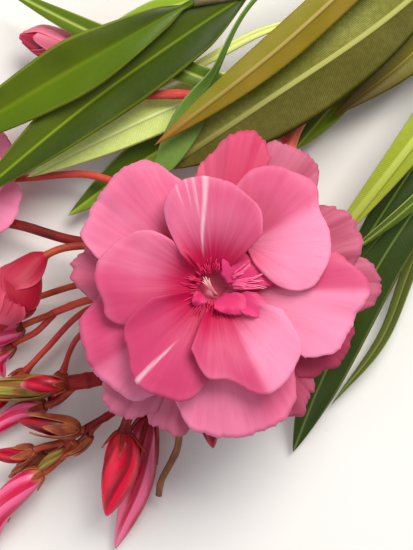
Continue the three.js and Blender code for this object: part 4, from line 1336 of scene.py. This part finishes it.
class OLEANDER_OT_large_bloom(bpy.types.Operator):
    """Add the large double bloom with its throat, fringes and plume"""
    bl_idname = "oleander.large_bloom"
    bl_label = "Large bloom"

    def execute(self, context):
        sizes, _ = settings()
        axis = seen(BLOOM_AXIS)
        centre = Vector((axis.x, axis.y, 0))
        for name, chosen, teeth in WHORLS:
            piece = Piece("bloom_" + name + "_petals", "petal", "bloom")
            for number, (whorl, start, end, reaches, rim, finish, sides, crease) in enumerate(BLOOM_PETALS):
                if whorl is not chosen:
                    continue
                outline = {"angles": (start, end), "reaches": reaches, "claw": whorl["claw"], "whorl": whorl}
                if number == FREE_PETAL:
                    outline = FREE_OUTLINE
                shape = fan_petal(
                    **outline, rim=rim, sides=sides, crease=crease, seed=number, ruffle=sizes.ruffle / MM,
                    thickness=sizes.petal_thickness / MM, teeth=teeth)
                piece.add(moved(shape, centre), finishes[finish])
            piece.finish()
        self.heart(centre, sizes)
        return {"FINISHED"}

    def heart(self, centre, sizes):
        """The throat, the small petals and fringes round it, and the plume."""
        throat = Piece("bloom_throat", "petal", "bloom")
        throat.add(moved(throat_shape(BLOOM_FOOT, BLOOM_MOUTH), centre), finishes["throat"])
        for number, row in enumerate(THROAT_LOBES):
            throat.add(moved(lobe(row, number, sizes), centre), finishes["lobe"])
        throat.finish()
        draw = Random(CROWN_SEED)
        crown = Piece("bloom_crown", "petal", "bloom")
        for row in FRINGES:
            for _ in range(round(row[1] * sizes.fringes / 100)):
                crown.add(moved(fringe(draw, row, sizes.fringe / MM), centre), finishes[row[-1]])
        crown.finish()
        plume = Piece("bloom_plume", "petal", "bloom")
        for _ in range(PLUME_HAIRS):
            plume.add(moved(plume_hair(draw), centre), finishes["plume"])
        plume.finish()


class OLEANDER_OT_small_bloom(bpy.types.Operator):
    """Add the smaller bloom beside the large one, from three whorls of like petals"""
    bl_idname = "oleander.small_bloom"
    bl_label = "Small bloom"

    def execute(self, context):
        sizes, _ = settings()
        axis = seen(SIDE_AXIS)
        place = Vector((axis.x, axis.y, axis.z - BLOOM_MOUTH * SIDE_SCALE))
        piece = Piece("side_bloom_petals", "petal", "side_bloom")
        for row, whorl in enumerate(SIDE_WHORLS):
            for k in range(whorl["count"]):
                middle = whorl["turn"] + 360 * k / whorl["count"]
                half = SIDE_SPREAD / whorl["count"]
                reaches = [share * whorl["reach"] for share in SIDE_OUTLINE]
                # The two sides of the crease take their own paleness: painted light and shade
                shape = fan_petal(
                    (middle - half, middle + half), reaches, whorl, whorl["rim"], sides=(0.9, 0.7),
                    crease=0.5, seed=SIDE_SEED + 7 * row + k, ruffle=sizes.ruffle / MM,
                    thickness=sizes.petal_thickness / MM / SIDE_SCALE, scale=SIDE_SCALE)
                piece.add(moved(shape, place, SIDE_SCALE), finishes["petal"])
        piece.add(moved(throat_shape(BLOOM_FOOT, BLOOM_MOUTH), place, SIDE_SCALE), finishes["petal"])
        piece.finish()
        return {"FINISHED"}


class OLEANDER_OT_opening_flowers(bpy.types.Operator):
    """Add the two half-open flowers"""
    bl_idname = "oleander.opening_flowers"
    bl_label = "Opening flowers"

    def execute(self, context):
        for number, (name, given) in enumerate(OPENING.items()):
            opening_piece(name, *given, OPENING_SEED + number)
        return {"FINISHED"}


class OLEANDER_OT_buds(bpy.types.Operator):
    """Add the buds with their stalks and sepals"""
    bl_idname = "oleander.buds"
    bl_label = "Buds"

    def execute(self, context):
        for number, (name, given) in enumerate(BUDS.items()):
            bud_piece(name, *given, BUD_SEED + 3 * number)
        return {"FINISHED"}


class OLEANDER_OT_stage(bpy.types.Operator):
    """Add the floor, the lights and the camera"""
    bl_idname = "oleander.stage"
    bl_label = "Stage"

    def execute(self, context):
        scene = context.scene
        self.floor(scene)
        scene.world = self.sky()
        for name, where, size, power, tint in LAMPS:
            lamp = bpy.data.lights.new(name, "AREA")
            lamp.size = size
            lamp.energy = power
            lamp.color = tint
            holder = bpy.data.objects.new(name, lamp)
            holder.location = where
            holder.rotation_euler = (-Vector(where)).to_track_quat("-Z", "Y").to_euler()
            scene.collection.objects.link(holder)
        lens = bpy.data.cameras.new("camera")
        lens.sensor_width = FILM
        lens.lens = FILM * (EYE - BLOOM_LEVEL) / VIEW_LONG_SIDE
        lens.clip_start = 0.01
        lens.clip_end = 10
        camera = bpy.data.objects.new("camera", lens)
        camera.location = (-MIDDLE[0] * MM, -MIDDLE[1] * MM, EYE * MM)
        scene.collection.objects.link(camera)
        scene.camera = camera
        scene.view_settings.view_transform = "Standard"
        return {"FINISHED"}

    def floor(self, scene):
        bm = bmesh.new()
        bmesh.ops.create_grid(bm, x_segments=1, y_segments=1, size=FLOOR_HALF)
        mesh = bpy.data.meshes.new("floor")
        bm.to_mesh(mesh)
        bm.free()
        make = Finish("floor")
        tone = make.over(srgb(226, 224, 219), srgb(232, 230, 226), make.cloud(make.place(), 3, 2), 0.3, 0.7)
        mesh.materials.append(make.done(tone, 0.9))
        floor = bpy.data.objects.new("floor", mesh)
        scene.collection.objects.link(floor)

    def sky(self):
        world = bpy.data.worlds.new("studio")
        world.use_nodes = True
        background = world.node_tree.nodes["Background"]
        background.inputs[0].default_value = SKY
        background.inputs[1].default_value = SKY_STRENGTH
        return world


OPERATORS = [
    OLEANDER_OT_finishes, OLEANDER_OT_stem, OLEANDER_OT_stalks, OLEANDER_OT_leaves, OLEANDER_OT_large_bloom,
    OLEANDER_OT_small_bloom, OLEANDER_OT_opening_flowers, OLEANDER_OT_buds, OLEANDER_OT_stage,
]


class OLEANDER_PT_panel(bpy.types.Panel):
    bl_idname = "OLEANDER_PT_panel"
    bl_label = "Oleander branch"
    bl_space_type = "VIEW_3D"
    bl_region_type = "UI"
    bl_category = "Oleander"

    def draw(self, context):
        for group in (context.scene.oleander_sizes, context.scene.oleander_colours):
            box = self.layout.box()
            for name in group.__annotations__:
                box.prop(group, name)
        for operator in OPERATORS:
            self.layout.operator(operator.bl_idname)


CLASSES = [OleanderSizes, OleanderColours, *OPERATORS, OLEANDER_PT_panel]


def register():
    for one in CLASSES:
        bpy.utils.register_class(one)
    bpy.types.Scene.oleander_sizes = PointerProperty(type=OleanderSizes)
    bpy.types.Scene.oleander_colours = PointerProperty(type=OleanderColours)


def unregister():
    del bpy.types.Scene.oleander_colours
    del bpy.types.Scene.oleander_sizes
    for one in reversed(CLASSES):
        bpy.utils.unregister_class(one)


def main():
    register()
    bpy.ops.oleander.finishes()
    bpy.ops.oleander.stem()
    bpy.ops.oleander.stalks()
    bpy.ops.oleander.leaves()
    bpy.ops.oleander.large_bloom()
    bpy.ops.oleander.small_bloom()
    bpy.ops.oleander.opening_flowers()
    bpy.ops.oleander.buds()
    bpy.ops.oleander.stage()


if __name__ == "__main__":
    main()
